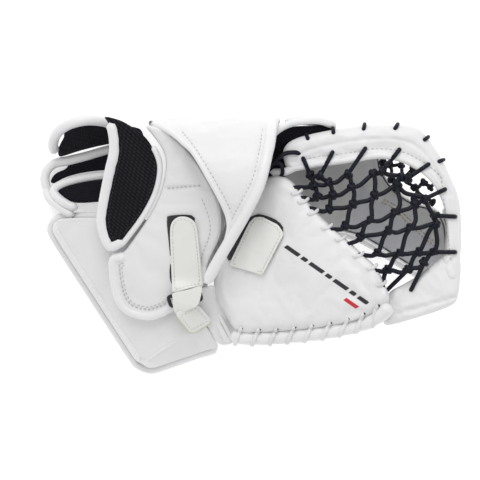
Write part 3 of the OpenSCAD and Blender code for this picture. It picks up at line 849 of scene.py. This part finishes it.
# ---------------------------------------------------------------- back of the hand
def build_shell():
    plan = [(-84, 97), (-79, 98), (-70.5, 94.6), (-60, 87.5), (-52, 80), (-45, 73), (-34, 54), (-23, 33),
            (-17, 16), (-20, 0), (-28, -18), (-35, -31),
            (-31, -31), (-23, -16), (-13, 1), (-3, 18), (5, 33), (11, 47), (14.5, 60), (17, 72), (19.5, 84)]
    flat = [(x, float(ARCH.over(y))) for x, y in plan]
    end = ARCH.length
    flat += [(23, end - 62), (23.5, end - 40), (22.5, end - 5), (19, end - 0.5), (-20, end), (-66, end - 0.5),
             (-71, end - 5), (-72, end - 40), (-73, flat[0][1] + 12), (-79, flat[0][1] + 6)]
    line = ccw(resample(smooth(flat, 5), 3))
    skin = pad("backhand_pad", inset(line, 1.2), ARCH.place, -5.6, -0.6, WHITE, "shell", r=2.0, crown=0.9,
               full=12, step=4.2, bulge=0.1)
    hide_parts("backhand_shell")
    under = pad("backhand_lining", inset(line, 3.4), ARCH.place, -8.2, -6.3, LINING, "shell", r=0.8,
                r_under=0.8, crown=0.2, step=5.0, bulge=0)
    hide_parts("shell_lining")
    paths = [(ARCH.place(resample(inset(line, 1.9), 2.6), -2.4), 2.4, {"closed": True})]
    i = int(np.argmin(line[:, 1]))
    order = np.vstack([line[i:], line[:i]])
    k = int(np.argmin(np.linalg.norm(order - np.array((23.3, end - 50)), axis=1)))
    big = order[:k]
    t = np.gradient(big, axis=0)
    t /= np.linalg.norm(t, axis=1)[:, None]
    big = big + 2.4 * np.stack([-t[:, 1], t[:, 0]], 1)
    paths.append((ARCH.place(resample(big, 2.4, False), -1.5), 4.6, {"taper": 9}))
    o = tubes("backhand_roll", paths, ROLL, "shell", sides=14)
    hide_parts("shell_binding")
    return skin, o


# ---------------------------------------------------------------- hand and fingers
def strip(name, path, z0, z1, h0, h1, mat, body, crown=0.6, step=4.5, shape=None):
    """A padded wall on a path in plan. z0 and z1 are heights, or functions of the way along."""
    w = Wall(path)
    s = np.linspace(0, w.length, max(4, int(w.length / 6)))
    lo = z0(w, s) if callable(z0) else np.full(len(s), float(z0))
    hi = z1(w, s) if callable(z1) else np.full(len(s), float(z1))
    line = np.vstack([np.stack([s, lo], 1), np.stack([s, hi], 1)[::-1]])
    return pad(name, line, w.place, h0, h1, mat, body, r=1.8, r_under=1.5, crown=crown, step=step,
               shape=shape, bulge=0.2)


def build_fingers():
    back = pad("finger_back_pad", inset(back_line, 0.4), LEVEL.place, 0.0, 7.8, WHITE, "hand", r=3,
               r_under=2.0, crown=0.2, step=5, bulge=0.6)
    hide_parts("finger_back")
    floor = pad("stall_floor_lining", board_line, LEVEL.place, 8.3, 10.8, LINING, "hand", r=1, r_under=0.8,
                step=7, bulge=0)
    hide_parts("stall_floor")
    roof = pad("stall_roof_lining", board_line, LEVEL.place, 27.8, 30.3, LINING, "hand", r=1, r_under=0.8,
               step=7, bulge=0)
    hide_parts("stall_roof")
    walls = []
    for i in range(5):
        y = 6.5 + 20 * i
        x = np.arange(-62, 164, 3.0)
        row = np.stack([x, np.full(len(x), y), np.full(len(x), 19.3)], 1)
        keep = within(row[:, :2], inset(board_line, 2.6))
        cuts = np.flatnonzero(np.diff(keep.astype(int))) + 1
        for run, kept in zip(np.split(row, cuts), np.split(keep, cuts)):
            if kept[0] and len(run) > 3:
                walls.append((run, 8.6, {"wide": 0.17, "up": (0, 0, 1), "taper": 2}))
    o = tubes("stall_divider_walls", walls, LINING, "hand", sides=16)
    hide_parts("stall_walls")

    def tone(p, d):
        v = (p - np.array([109, 33])) @ np.array([0.63, 0.77])
        return -0.5 * np.exp(-(v / 1.5) ** 2) * (p[:, 0] > 95)

    palm = pad("palm_leather", inset(board_line, 0.3), LEVEL.place, 32.9, 35.0, PALM_SHADED_WARM, "hand", r=0.8,
               r_under=0.6, crown=0.5, step=4, shape=tone, bulge=0)
    # Painted shade: the palm takes the warmer shaded copy, and the faces beyond the brown seam take the
    # cooler shaded copy.
    palm.data.materials.append(PALM_SHADED_COOL)
    for f in palm.data.polygons:
        c = np.array(f.center[:2]) / MM
        if (c - np.array([109, 33])) @ np.array([0.63, 0.77]) < 0 and c[0] > 84:
            f.material_index = 1
    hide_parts("finger_palm")
    side_path = part_of(inset(board_line, -1.6), (-44, -20), (-58, 88))
    side = strip("finger_side_strip", resample(side_path, 3, False), 6.5, 35.6, -0.9, 0.9, WHITE, "hand",
                    crown=0.5, step=5)
    heel = pad("palm_heel_pad", inset(palm_pad_line, 0.3), LEVEL.place, 35.2, 53.2, WHITE, "hand", r=3,
               crown=0.8, step=4)
    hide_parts("palm_pad")

    def to_rim(w, s):
        p = np.stack([np.interp(s, w.s, w.path[:, i]) for i in (0, 1)], 1)
        return RIM.z(p) - 0.4

    upper = strip("upper_side_wall", resample(smooth([(35, 76), (45, 81), (69, 86), (88, 88.5), (104, 89)],
                     closed=False), 3, False), 34, to_rim, -2.8, 2.8, WHITE, "hand", crown=1.0)
    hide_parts("upper_wall")
    tip = strip("tip_side_wall", resample(smooth([(160, 30), (163, 12), (162, -10), (159, -24)],
                                                 closed=False), 3,
                   False), 8.4, to_rim, -2.8, 2.8, WHITE, "hand", crown=1.2)
    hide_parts("side_wall")
    knuckle = strip("knuckle_side_pad", resample(smooth([(70, 93), (58, 97.5), (44, 99.5), (29, 98.8)],
                       closed=False), 3, False), 8.6, 83.6, -2.4, 1.6, WHITE, "hand", crown=1.4)
    edge = resample(smooth([(15, 79, 84), (17.5, 85, 88), (24, 91.4, 89), (34, 96.2, 88), (48, 98.2, 87),
                            (60, 97.6, 85.5), (70, 94.4, 83.5)], closed=False), 2.4, False)
    tubes("knuckle_edge_roll", [(edge, 2.9, {"taper": 4})], ROLL, "hand", sides=14)
    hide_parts("knuckle_pad")
    lining = strip("knuckle_inner_lining", resample(smooth([(66, 92.5), (54, 92), (41, 91), (29, 88)],
                      closed=False), 3, False), 35.4, 79.6, -2.5, 2.5, LINING, "hand", crown=0.8)
    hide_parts("knuckle_lining")
    return back, palm, side, heel, upper, tip, knuckle


def build_rim():
    def shape(p, d):
        """A soft roll at the inner edge, a sewn channel beside it and a slight dip along the middle."""
        inner = away(p, rim_inner, False)
        outer = away(p, rim_outer, False)
        h = 0.8 * np.exp(-((inner - 3.2) / 2.6) ** 2) - 1.6 * np.exp(-((inner - 7.2) / 1.3) ** 2)
        return h + 1.2 * np.exp(-((outer - 9) / 7) ** 2)

    rim = pad("rim_band_pad", inset(rim_line, 0.4), RIM.place, 0.4, 11.6, WHITE, "hand", r=4.2, r_under=3,
              crown=1.2, full=8, shape=shape, step=3.0, bulge=1.0)
    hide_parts("rim_band")

    def crease(p, d):
        v = p - np.array([116.0, -50.0])
        fan = np.arctan2(v[:, 1], v[:, 0])
        band = (p - np.array([106.0, -57.6])) @ np.array([0.27, -0.963])
        return (0.7 * np.sin(fan * 9) * np.exp(-(np.linalg.norm(v, axis=1) / 22) ** 2)
                - 1.5 * np.exp(-(band / 1.0) ** 2))

    tip = pad("rim_tip_pad", inset(tip_line, 0.4), RIM.place, 0.4, 11.4, WHITE, None, r=4.6, r_under=3,
              crown=1.6, full=10, shape=crease, step=3.0, bulge=1.4)
    return rim, tip


camera_and_light()
cuff = build_cuff()
wrap = build_wrap()
lip = build_lip()
lobes, lobe_rolls = build_lobes()
thumb, thumb_roll, heel_seam, gusset = build_thumb()
shell, shell_roll = build_shell()
finger_back, palm, finger_side, palm_heel, upper_wall, tip_wall, knuckle = build_fingers()
rim, rim_tip = build_rim()

# Cloth simulation swells the free skins; their sewn edges and seams are held.
puff([
    (cuff, 3.0, 0.004, 4.0, []),
    (wrap, 3.0, 0.010, 4.0, []),
    (lip, 3.0, 0.010, 4.0, []),
    (lobes[0], 2.0, 0.010, 3.0, []), (lobes[1], 2.0, 0.010, 3.0, []), (lobes[2], 2.0, 0.010, 3.0, []),
    (thumb, 3.0, 0.020, 4.0, [[(-20, -16), (-2, 21), (10, 25), (26, 18), (29, 6), (12, -24)]]),
    (shell, 1.5, 0.006, 3.0, []),
    (palm, 1.0, 0.012, 2.5, [[(109, 33), (117, 29), (133, 13), (153, -3)]]),
    (palm_heel, 3.0, 0.015, 4.0, []),
    (rim, 3.0, 0.008, 3.0, []), (rim_tip, 3.0, 0.015, 4.0, []),
    (knuckle, 2.0, 0.010, 3.0, []), (upper_wall, 2.0, 0.010, 3.0, []), (tip_wall, 2.0, 0.012, 3.0, []),
])
for piece in (cuff, wrap, lip, *lobes, thumb, shell, palm, palm_heel, rim, rim_tip, knuckle, upper_wall,
              tip_wall, finger_side, finger_back):
    finer(piece)


# ---------------------------------------------------------------- sewn lines
def sew():
    on_wrap, on_lip, on_shell = surface(wrap), surface(lip), surface(shell)
    on_cuff, on_rim = surface(cuff), surface(rim)
    on_palm = surface(palm)
    wrap_rows = [on_wrap(part_of(inset(wrap_line, d), (-99, -10), (-58, -44))) for d in (9.0, 11.0)]
    wrap_rows.append(on_wrap(part_of(inset(wrap_line, 5.5), (-38, -26), (-36, 38))))
    wrap_rows.append(on_wrap(np.linspace((-66, 44.4), (-38, 46.8), 14)))
    wrap_seam = [on_wrap(part_of(inset(wrap_line, 8.2), (-99, -10), (-58, -44)))]
    grooves(wrap, wrap_seam + [on_wrap(np.linspace((-67, 44.4), (-37, 46.8), 14))], 0.9, 1.3)
    lip_left = [on_lip(part_of(inset(lip_line, 9.0), (-104, 84), (-106, 4)))]
    lip_right = [on_lip(part_of(inset(lip_line, 5.6), (-100, 6), (-76, 70)))]
    left = [(-53, 90), (-45.5, 80.5), (-38, 70), (-28, 53), (-18, 35), (-12, 22)]
    left = on_shell(resample(smooth(left, closed=False), 3, False))
    right = np.array([(11, 92), (10, 84), (8, 72), (5.5, 60), (2, 49), (-3.5, 38), (-9, 28), (-14, 18)],
                     float)
    right = on_shell(resample(smooth(right, closed=False), 3, False))
    grooves(shell, [left, right], 0.8, 1.3)
    on_shell = surface(shell)
    shell_rows = [on_shell(left[:, :2]), on_shell(right[:, :2])]
    rim_rows = []
    for d in (8.0, 10.0):
        way = inset(rim_line, d)
        rim_rows.append(on_rim(part_of(way, (44, 68), (161, -8))))
    mid = np.array([(36, 70), (52, 76), (75, 81), (98, 83.5), (118, 83), (132, 78), (144, 66), (154, 46),
                    (160, 24), (161, 0), (160, -18)], float)
    mid = on_rim(resample(smooth(mid, closed=False), 3, False))
    grooves(rim, [mid], 1.0, 1.2)
    low = surface(rim_tip)(resample([(105, -58.2), (135, -50.4), (166, -41.2)], 2, False))
    grooves(rim_tip, [low], 1.1, 1.8)
    stitches("wrap_stitches", wrap_rows, THREAD, "cuff")
    stitches("lip_stitches", lip_left + lip_right, DARK_THREAD, "cuff", pitch=3.2)
    stitches("backhand_stitches", shell_rows, THREAD, "shell")
    stitches("rim_stitches", rim_rows[:1], THREAD, "hand")
    seam = resample(smooth([(106, 34.5), (117, 29), (133, 13), (154, -5)], closed=False), 2, False)
    stitches("palm_stitches", [on_palm(seam), on_palm(seam + (1.8, 2.2))], BROWN_THREAD, "hand", pitch=3.0,
             r=0.5)
    low = on_cuff(resample(part_of(inset(cuff_line, 9.2), (-154, 16), (-91, -92)), 3, False), -0.2)
    ridge = on_cuff(resample([(-85, -95.5), (-78, -91), (-66, -82.5), (-58, -78)], 3, False), -0.1)
    tubes("cuff_ridge_piping", [(low, 1.0, {"taper": 2}), (ridge, 1.0, {"taper": 4})], ROLL, "cuff", sides=10)


def build_straps():
    hand_line = ccw(resample([(-16, -16.5), (0.5, 17.5), (4.5, 21.6), (10.5, 22.2), (23.5, 15.6), (28, 8.6),
                              (11, -24.4), (-2, -20.5)], 2.2))
    patch = pad("hand_strap_hook_patch", ccw(smooth([(-18, -11), (-2, 18), (3, 22.6), (10, 24), (24, 18),
                (27, 8), (13, -14.5), (-2, -10)], 4)), THUMB.place, 28.2, 29.4, HOOKS, "thumb", r=0.6,
                r_under=0.3, step=4, bulge=0)
    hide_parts("hand_strap_patch")

    def curl(p, d):
        v = (p - np.array([6.0, 0.0])) @ np.array([0.52, 0.85])
        return 0.7 * np.sin(v * 0.11 + 1) + 0.25 * np.cos(p[:, 0] * 0.4)

    strap = pad("hand_strap_leather", hand_line, lambda p, h: THUMB.place(p, h), 29.8, 31.9, STRAP,
                "hand_strap", r=0.8, r_under=0.5, crown=0.5, full=3, step=2.4, shape=curl, bulge=0.1)
    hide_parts("hand_strap")
    on = surface(strap)
    stitches("hand_strap_stitches", [on(part_of(inset(hand_line, 2.2), (5, -20), (-9, -14)))], THREAD,
             "hand_strap", pitch=3.0, length=1.9, r=0.34)

    patch = pad("wrist_strap_hook_patch", ccw(smooth([(-65, 19), (-62, 23), (-44, 23), (-43, 15), (-40, -27),
                (-61, -33), (-63, -6)], 4)), WRAP.place, 8.2, 9.4, HOOKS, "cuff", r=0.6, r_under=0.3, step=4,
                bulge=0)
    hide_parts("wrist_strap_patch")
    line = ccw(smooth([(-62.5, 10), (-61, 17.5), (-56.5, 21.6), (-50.5, 22.2), (-45, 20), (-41.5, 15),
                       (-39.5, 2), (-36.8, -29), (-37, -32.4), (-48, -35.2), (-60.4, -38.2), (-61, -34),
                       (-62, -10)], 4))
    bar = np.array([0.215, 0.977])

    def over_ring(p, d):
        v = (p - np.array([-50.0, -38.0])) @ bar
        return 6.0 * np.exp(-(v / 6.5) ** 2) + 0.4 * np.sin(v * 0.13) + 0.8 * np.exp(-((v - 58) / 7) ** 2)

    strap = pad("wrist_strap_leather", line, WRAP.place, 0, 2.2, STRAP, None, r=0.8, r_under=0.5, crown=0.5,
                full=3, step=2.4, bulge=0.1)
    co = np.array([v.co[:] for v in strap.data.vertices]) / MM
    co[:, 2] += (9.8 + over_ring(co[:, :2], None)) / WRAP.cos
    strap.data.vertices.foreach_set("co", (co * MM).ravel())
    strap.data.update()
    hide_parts("wrist_strap")
    on = surface(strap)
    row = on(inset(line, 2.2))
    sewn = stitches("wrist_strap_stitches", [np.vstack([row, row[:1]])], THREAD, None, pitch=3.0, length=1.9,
                    r=0.34)
    for piece in (strap, sewn):
        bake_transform(piece)

    corners = np.array([(-64.4, -41.8), (-39.2, -36.6), (-37.2, -44), (-62, -49.6)])
    ring = resample(corners, 1.2)
    for _ in range(2):
        ring = (np.roll(ring, 1, 0) + ring + np.roll(ring, -1, 0)) / 3
    o = tubes("strap_ring_loop", [(WRAP.place(ring, 14.1), 1.5, {"closed": True})], PLASTIC, "ring", sides=12)
    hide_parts("strap_ring")

    tab_line = ccw(resample([(-58, -54.5), (-57.4, -57), (-46.6, -71), (-44.8, -71.6), (-30.4, -62.8),
                             (-29.4, -60.8), (-39.4, -48.6), (-41.4, -47.6)], 2.2))
    tab = pad("strap_anchor_tab", tab_line, TAB.place, 0.4, 2.4, STRAP, "cuff", r=0.7, r_under=0.5,
              crown=0.3, full=3, step=2.4, bulge=0)
    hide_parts("strap_anchor")
    on = surface(tab)
    row = on(resample([(-54.6, -57), (-45.4, -68.4), (-32.6, -61.2), (-41.4, -51)], 1.5))
    stitches("strap_anchor_stitches", [np.vstack([row, row[:1]])], THREAD, "cuff", pitch=2.8, length=1.8,
             r=0.34)
    edge = TAB.place(part_of(inset(tab_line, 0.1), (-57.6, -56.5), (-29.6, -61.5)), 1.1)
    tubes("strap_anchor_cut_edge", [(edge, 1.05, {"taper": 1})], CUT, "cuff", sides=8)
    fold = ccw(smooth([(-57.5, -56), (-60.3, -50), (-60.6, -42), (-60.2, -38.8), (-48, -35.8), (-37.4, -33),
                       (-37.4, -38), (-38.4, -43), (-40.6, -48.6), (-49, -52.4)], 3))

    def over_bar(p, h):
        v = (p - np.array([-49.5, -46.6])) @ bar
        z = WRAP.z(p) + 15.9 / WRAP.cos - 0.5 * np.maximum(-v - 2, 0)
        return np.concatenate([p, (z + h)[..., None]], -1)

    tab = pad("strap_anchor_fold", fold, over_bar, 0, 2.0, STRAP, "ring", r=0.7, r_under=0.5, crown=0.3,
              full=3, step=2.2, bulge=0)


# ---------------------------------------------------------------- web and lace
knots = np.array([(49, 55), (57, 55), (79, 56), (64, 49), (52, 47), (82, 45), (67, 39), (55, 38), (83, 32),
    (100, 39), (64, 28), (99, 56), (77, 15), (97, 19), (116, 25), (118, 48), (88, 6), (111, 11),
    (128, 13), (148, 17), (102, -7), (120, -7), (135, -6), (147, -6), (110, -20), (126, -20),
    (139, -14), (139, 36), (121, 54), (106, 58), (127, 53), (147.5, 23), (132, 32), (41, 49), (46, 42),
    (53, 31), (68, 17), (81, 5), (92, -5), (105, -18), (112, -29)], float)
strands = [(0, 1), (0, 4), (1, 3), (3, 2), (2, 5), (3, 6), (3, 4), (4, 33), (4, 7), (7, 34),
    (7, 6), (6, 5), (6, 10), (5, 8), (5, 11), (11, 29), (11, 9), (9, 15), (9, 8), (9, 13), (8, 10),
    (10, 35), (8, 12), (12, 36), (12, 13), (13, 14), (13, 16), (14, 15), (14, 17), (17, 16), (16, 37),
    (17, 18), (17, 20), (18, 19), (18, 32), (32, 27), (32, 14), (18, 21), (19, 22), (20, 21),
    (21, 22), (22, 23), (23, 19), (23, 26), (26, 25), (25, 24), (22, 25), (20, 38), (21, 24),
    (24, 39), (24, 40), (19, 31), (31, 27), (29, 28), (28, 30), (28, 15), (15, 27)]
far_knots = np.array([(113, 64, 62), (115, 52, 50), (124, 54, 62), (133, 46, 56), (140, 50, 66),
    (131, 60, 68), (108, 66, 48), (119, 46, 40), (134, 37, 40), (148, 34, 50), (146, 46, 68), (122, 64, 70)],
    float)
far_strands = [(0, 1), (1, 2), (2, 3), (3, 4), (2, 5), (4, 10), (3, 8), (1, 7), (0, 6), (3, 9), (0, 11),
               (2, 11)]


def web_z(p):
    x, y = p[..., 0], p[..., 1]
    bulge = np.maximum(0, 1 - ((x - 100) / 60) ** 2 - ((y - 22) / 45) ** 2)
    return 91 + 0.06 * (x - 100) - 0.12 * (y - 20) + 12 * bulge


def strand(a, b, sag, sway, n=11):
    t = np.linspace(0, 1, n)[:, None]
    p = a + (b - a) * t
    side = np.cross(b - a, (0, 0, 1))
    side = side / np.linalg.norm(side)
    bow = np.sin(math.pi * t)
    return p - bow * np.array((0, 0, sag)) + side * sway * (bow + 0.45 * np.sin(2 * math.pi * t))


def wrap_knot(c, axis, r=2.5, turns=1.6, pitch=2.6, n=22):
    """A lace wound round a crossing."""
    axis = axis / np.linalg.norm(axis)
    u = np.cross(axis, (0, 0, 1))
    u /= np.linalg.norm(u)
    v = np.cross(axis, u)
    t = np.linspace(-0.5, 0.5, n)
    a = t * turns * 2 * math.pi
    return c + np.outer(t * pitch * turns, axis) + r * (np.outer(np.cos(a), u) + np.outer(np.sin(a), v) * 0.8)


def net(points, links, knotted, r, seed, wraps=True):
    rand = np.random.default_rng(seed)
    paths = []
    ways = {i: [] for i in range(len(points))}
    for a, b in links:
        ways[a].append(points[b] - points[a])
        ways[b].append(points[a] - points[b])
        way = points[b] - points[a]
        far = np.linalg.norm(way)
        flat = abs(way[0]) > abs(way[1])
        sway = far * (0.075 if flat == (way[0] > 0) else -0.075) * (1 if flat else (1 if way[1] < 0 else -1))
        sway += far * rand.uniform(-0.04, 0.04)
        paths.append((strand(points[a], points[b], rand.uniform(0.3, 1.2), sway), r))
    for i in range(knotted):
        if not ways[i]:
            continue
        axis = max(ways[i], key=lambda w: abs(w[0]) * 0.6 + w[1])
        paths.append((wrap_knot(points[i], axis, r * 1.42, 1.5, r * 1.5), r * 0.92, {"taper": 1.5}))
        if wraps:
            other = min(ways[i], key=lambda w: abs(w @ axis) / np.linalg.norm(w))
            paths.append((wrap_knot(points[i] + (0, 0, 0.6), other, r * 1.3, 0.8, r * 1.2, 14), r * 0.9,
                          {"taper": 1.5}))
    return paths


def build_web():
    at = np.concatenate([knots, web_z(knots)[:, None]], 1)
    on_thumb = surface(thumb)
    for i in range(33, 41):
        near = thumb_line[int(np.argmin(np.linalg.norm(thumb_line - knots[i], axis=1)))]
        at[i, :2] = near - 2.6 * np.array([0.773, 0.634])
        at[i, 2] = on_thumb([at[i, :2]])[0][2] - 1.0
    web = tubes("web_lace_net", net(at, strands, 33, 1.85, 4), BLACK_LACE, None, sides=10)
    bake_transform(web)
    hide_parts("web_net")
    far = tubes("far_web_lace", net(far_knots, far_strands, 12, 1.5, 9, False), BLACK_LACE, "hand", sides=8)
    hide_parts("far_web")

    on = surface(rim)
    on_tip = surface(rim_tip)
    ties = [((43, 69), 0), ((67, 74), 1), ((93, 77), 2), ((120, 76), 29), ((143, 64), 30), ((156, 44), 27),
            ((164, 22), 31), ((164, -6), 23)]
    paths = []
    for hole, k in ties:
        h, q = np.array(hole, float), knots[k]
        t = np.linspace(0, 1, 12)
        flat = h + (q - h) * t[:, None]
        top = on(flat)[:, 2] + 1.5
        inner = ~within(flat, rim_line)
        z = np.where(inner, at[k][2], top)
        first = int(np.argmax(inner)) if inner.any() else 12
        for i in range(first, 12):
            f = (i - first + 1) / (12 - first)
            z[i] = top[first - 1] * (1 - f) + at[k][2] * f
        z[0] -= 3.0
        z[1] -= 0.2
        z[-1] = at[k][2]
        p = np.column_stack([flat, z])
        paths.append((smooth(p, 3, False), 1.75, {"taper": 1}))
    center = np.array([99.0, 20.0])
    for x, y in [(46, 87), (67, 92), (92, 95), (118, 95), (142, 85), (154, 67)]:
        p = np.array((x, y), float)
        o = (p - center) / np.linalg.norm(p - center)
        z = RIM.z(p) + 13
        o = o + 0.35 * np.array([o[1], -o[0]])
        way = [(*(p - o * 4.2), z - 3.5), (*(p - o * 3.0), z - 0.2), (*(p - o * 1.0), z - 1.7),
               (*(p + o * 0.4), z - 5), (*(p + o * 0.6), z - 10), (*(p - o * 0.8), z - 14)]
        paths.append((smooth(way, 4, False), 1.6, {"taper": 1}))
    tie = [(15, 60, 84), (19, 64, 87), (25, 69.5, 89.5), (30, 72.5, 89.6), (37, 73, 89.4), (41, 72, 86)]
    paths.append((smooth(tie, 5, False), 1.8, {"taper": 1}))
    tie = [(17, 67, 84), (22, 65, 89), (26, 63, 90), (27, 57, 87), (25, 53, 82)]
    paths.append((smooth(tie, 5, False), 1.6, {"taper": 1}))
    o = tubes("rim_tie_lace", paths, BLACK_LACE, "hand", sides=10)
    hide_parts("rim_lace")
    paths = []
    for hole, k in (((128, -37), 26), ((108, -38), 25)):
        h, q = np.array(hole, float), knots[k]
        flat = h + (q - h) * np.linspace(0, 1, 10)[:, None]
        z = np.maximum(on_tip(flat)[:, 2] + 1.4, 88)
        z = z[0] + (at[k][2] - z[0]) * np.linspace(0, 1, 10)
        z[0] -= 3
        paths.append((smooth(np.column_stack([flat, z]), 3, False), 1.75, {"taper": 1}))
    o = tubes("tip_tie_lace", paths, BLACK_LACE, None, sides=10)
    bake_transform(o)
    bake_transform(rim_tip)
    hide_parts("rim_tip_panel")
    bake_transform(gusset)
    return at


def build_whips():
    """White lace: over the roll of the lower edge, and over the edge that carries the web."""
    on = surface(thumb, thumb_roll)
    path = resample(roll_path, 1.0, False)
    paths, dots = [], []
    for x, y in whips:
        far = path[int(np.argmin(np.linalg.norm(path - (x - 3.5, y - 9.5), axis=1)))]
        down = np.array([x, y]) - far
        down = -down / np.linalg.norm(down)
        top = on([(x, y), (x - 0.7, y - 2.2), (x - 1.8, y - 5)], 0.9)
        far = far + (0, 1.6)
        zc = THUMB.z(far) + 19.5
        a = far + down * 3.4
        b = far + down * 6.0
        c = far + down * 5.2
        way = [(x, y, top[0][2] - 3.5), (x - 0.3, y - 0.8, top[0][2] + 0.3), tuple(top[1]), tuple(top[2]),
               (*(far + down * 0.3), zc + 6.9), (*a, zc + 5.4), (*b, zc + 0.6), (*c, zc - 4.5)]
        paths.append((smooth(way, 5, False), 1.25, {"wide": 1.35, "taper": 1}))
        dots.append((np.array([(x + 1.2, y + 0.2, top[0][2] - 0.9), (x + 1.2, y + 0.2, top[0][2] - 0.2),
                               (x + 1.2, y + 0.2, top[0][2] + 0.0)]), np.array([1.1, 1.0, 0.2])))
    o = tubes("thumb_whip_lace", paths, RAWHIDE, "thumb", sides=10)
    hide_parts("thumb_lace")
    tubes("thumb_lace_holes", dots, DARK_THREAD, "thumb", sides=10)
    on = surface(thumb)
    out = np.array([0.773, 0.634])
    paths = []
    for x, y in [(40, 44), (46, 36), (53, 27), (64, 17), (76, 6), (88, -4), (99, -15), (108, -28)]:
        p = np.array((x, y), float)
        far = thumb_line[int(np.argmin(np.linalg.norm(thumb_line - p, axis=1)))]
        z = on([far - out * 5.5, far - out * 4.0, far - out * 2.2], 0.9)
        lean = np.array([0.634, -0.773]) * 1.2
        way = [(*(far - out * 6.5 - lean), z[0][2] - 2.5), (*(far - out * 5.5 - lean), z[0][2] + 0.4),
               tuple(z[1]), (*(far - out * 1.6 + lean), z[2][2] - 0.6),
               (*(far + out * 1.6 + lean), z[2][2] - 4.5), (*(far + out * 1.4 + lean), z[2][2] - 9)]
        paths.append((smooth(way, 5, False), 1.15, {"wide": 1.3, "taper": 1}))
    tubes("web_edge_whip_lace", paths, RAWHIDE, "thumb", sides=10)


def build_trim():
    """Edge finishes and print: the rim's inner roll, the lining by the knuckles and the plain dashes."""
    on = surface(rim)
    way = resample(np.vstack([smooth([(17, 57.5), (22, 57.3), (28, 57.6), (34, 59.6)], closed=False)[:-1],
                              part_of(inset(rim_line, 2.8), (37, 61.5), (155, -14))]), 2.5, False)
    z = RIM.z(way) + 9.6 - 2.5 * np.clip((30 - way[:, 0]) / 12, 0, 1)
    tubes("rim_inner_roll", [(np.column_stack([way, z]), 3.1, {"taper": 4})], ROLL, "hand", sides=14)
    line = ccw(smooth([(8, 52), (12, 64), (16, 76), (21, 87), (31, 93), (48, 94.5), (68, 92.5), (62, 89),
                       (48, 85), (38, 80), (36, 70), (34, 60), (24, 50), (14, 47)], 4))

    def hang(p, h):
        z = 78 - 0.010 * (p[..., 0] - 20) ** 2 * (p[..., 0] < 20) + 0.15 * (p[..., 1] - 75) + 0 * h
        z = z - 10 * np.exp(-((p[..., 0] - 30) / 10) ** 2 - ((p[..., 1] - 66) / 10) ** 2)
        return np.concatenate([p, (np.minimum(z, 80.5) + h)[..., None]], -1)

    pad("knuckle_opening_lining", line, hang, -2.2, 0, LINING, "hand", r=0.8, r_under=0.6, step=3.6, bulge=0)

    on = surface(thumb)
    along, up = np.array([0.819, -0.574]), np.array([0.574, 0.819])
    first = np.array([29.0, -0.6])

    def dash(name, start, length, high, mat):
        step = np.array(start, float)
        q = np.array([step, step + along * length, step + along * (length + high * 0.35) + up * high,
                      step + along * high * 0.35 + up * high])
        o = pad(name, resample(q, 1.1), lambda p, h: on(p) + np.concatenate([np.zeros_like(p), (p[..., :1] * 0
                + np.reshape(h, (-1, 1)))], -1), -0.2, 0.28, mat, "thumb", r=0.15, r_under=0.05, step=1.1,
                bulge=0)
        return o

    at = 0.0
    for i, length in enumerate((13.0, 5.0, 13.0, 5.0, 13.0, 5.0, 9.0)):
        dash("printed_dash_%d" % (i + 1), first + along * at - up * 2.0, length, 3.2, INK)
        at += length + 2.6
    dash("printed_red_dash", first + along * 62 - up * 9.2, 12.0, 3.0, RED)


sew()
build_straps()
build_web()
build_whips()
build_trim()

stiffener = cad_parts["finger_stiffener"]
stiffener.data.materials.clear()
stiffener.data.materials.append(SHEET)

pale = leather("pale_floor", (0.90, 0.90, 0.90), (0.89, 0.89, 0.89), 0.8, scuff=0)
pale.node_tree.nodes["Principled BSDF"].inputs["Emission Color"].default_value = (1, 1, 1, 1)
pale.node_tree.nodes["Principled BSDF"].inputs["Emission Strength"].default_value = 0.4
floor = mesh_piece("studio_floor", [(-3000, -3000, -0.3), (3000, -3000, -0.3), (3000, 3000, -0.3),
                                    (-3000, 3000, -0.3)],
                   [(0, 1, 2, 3)], pale)
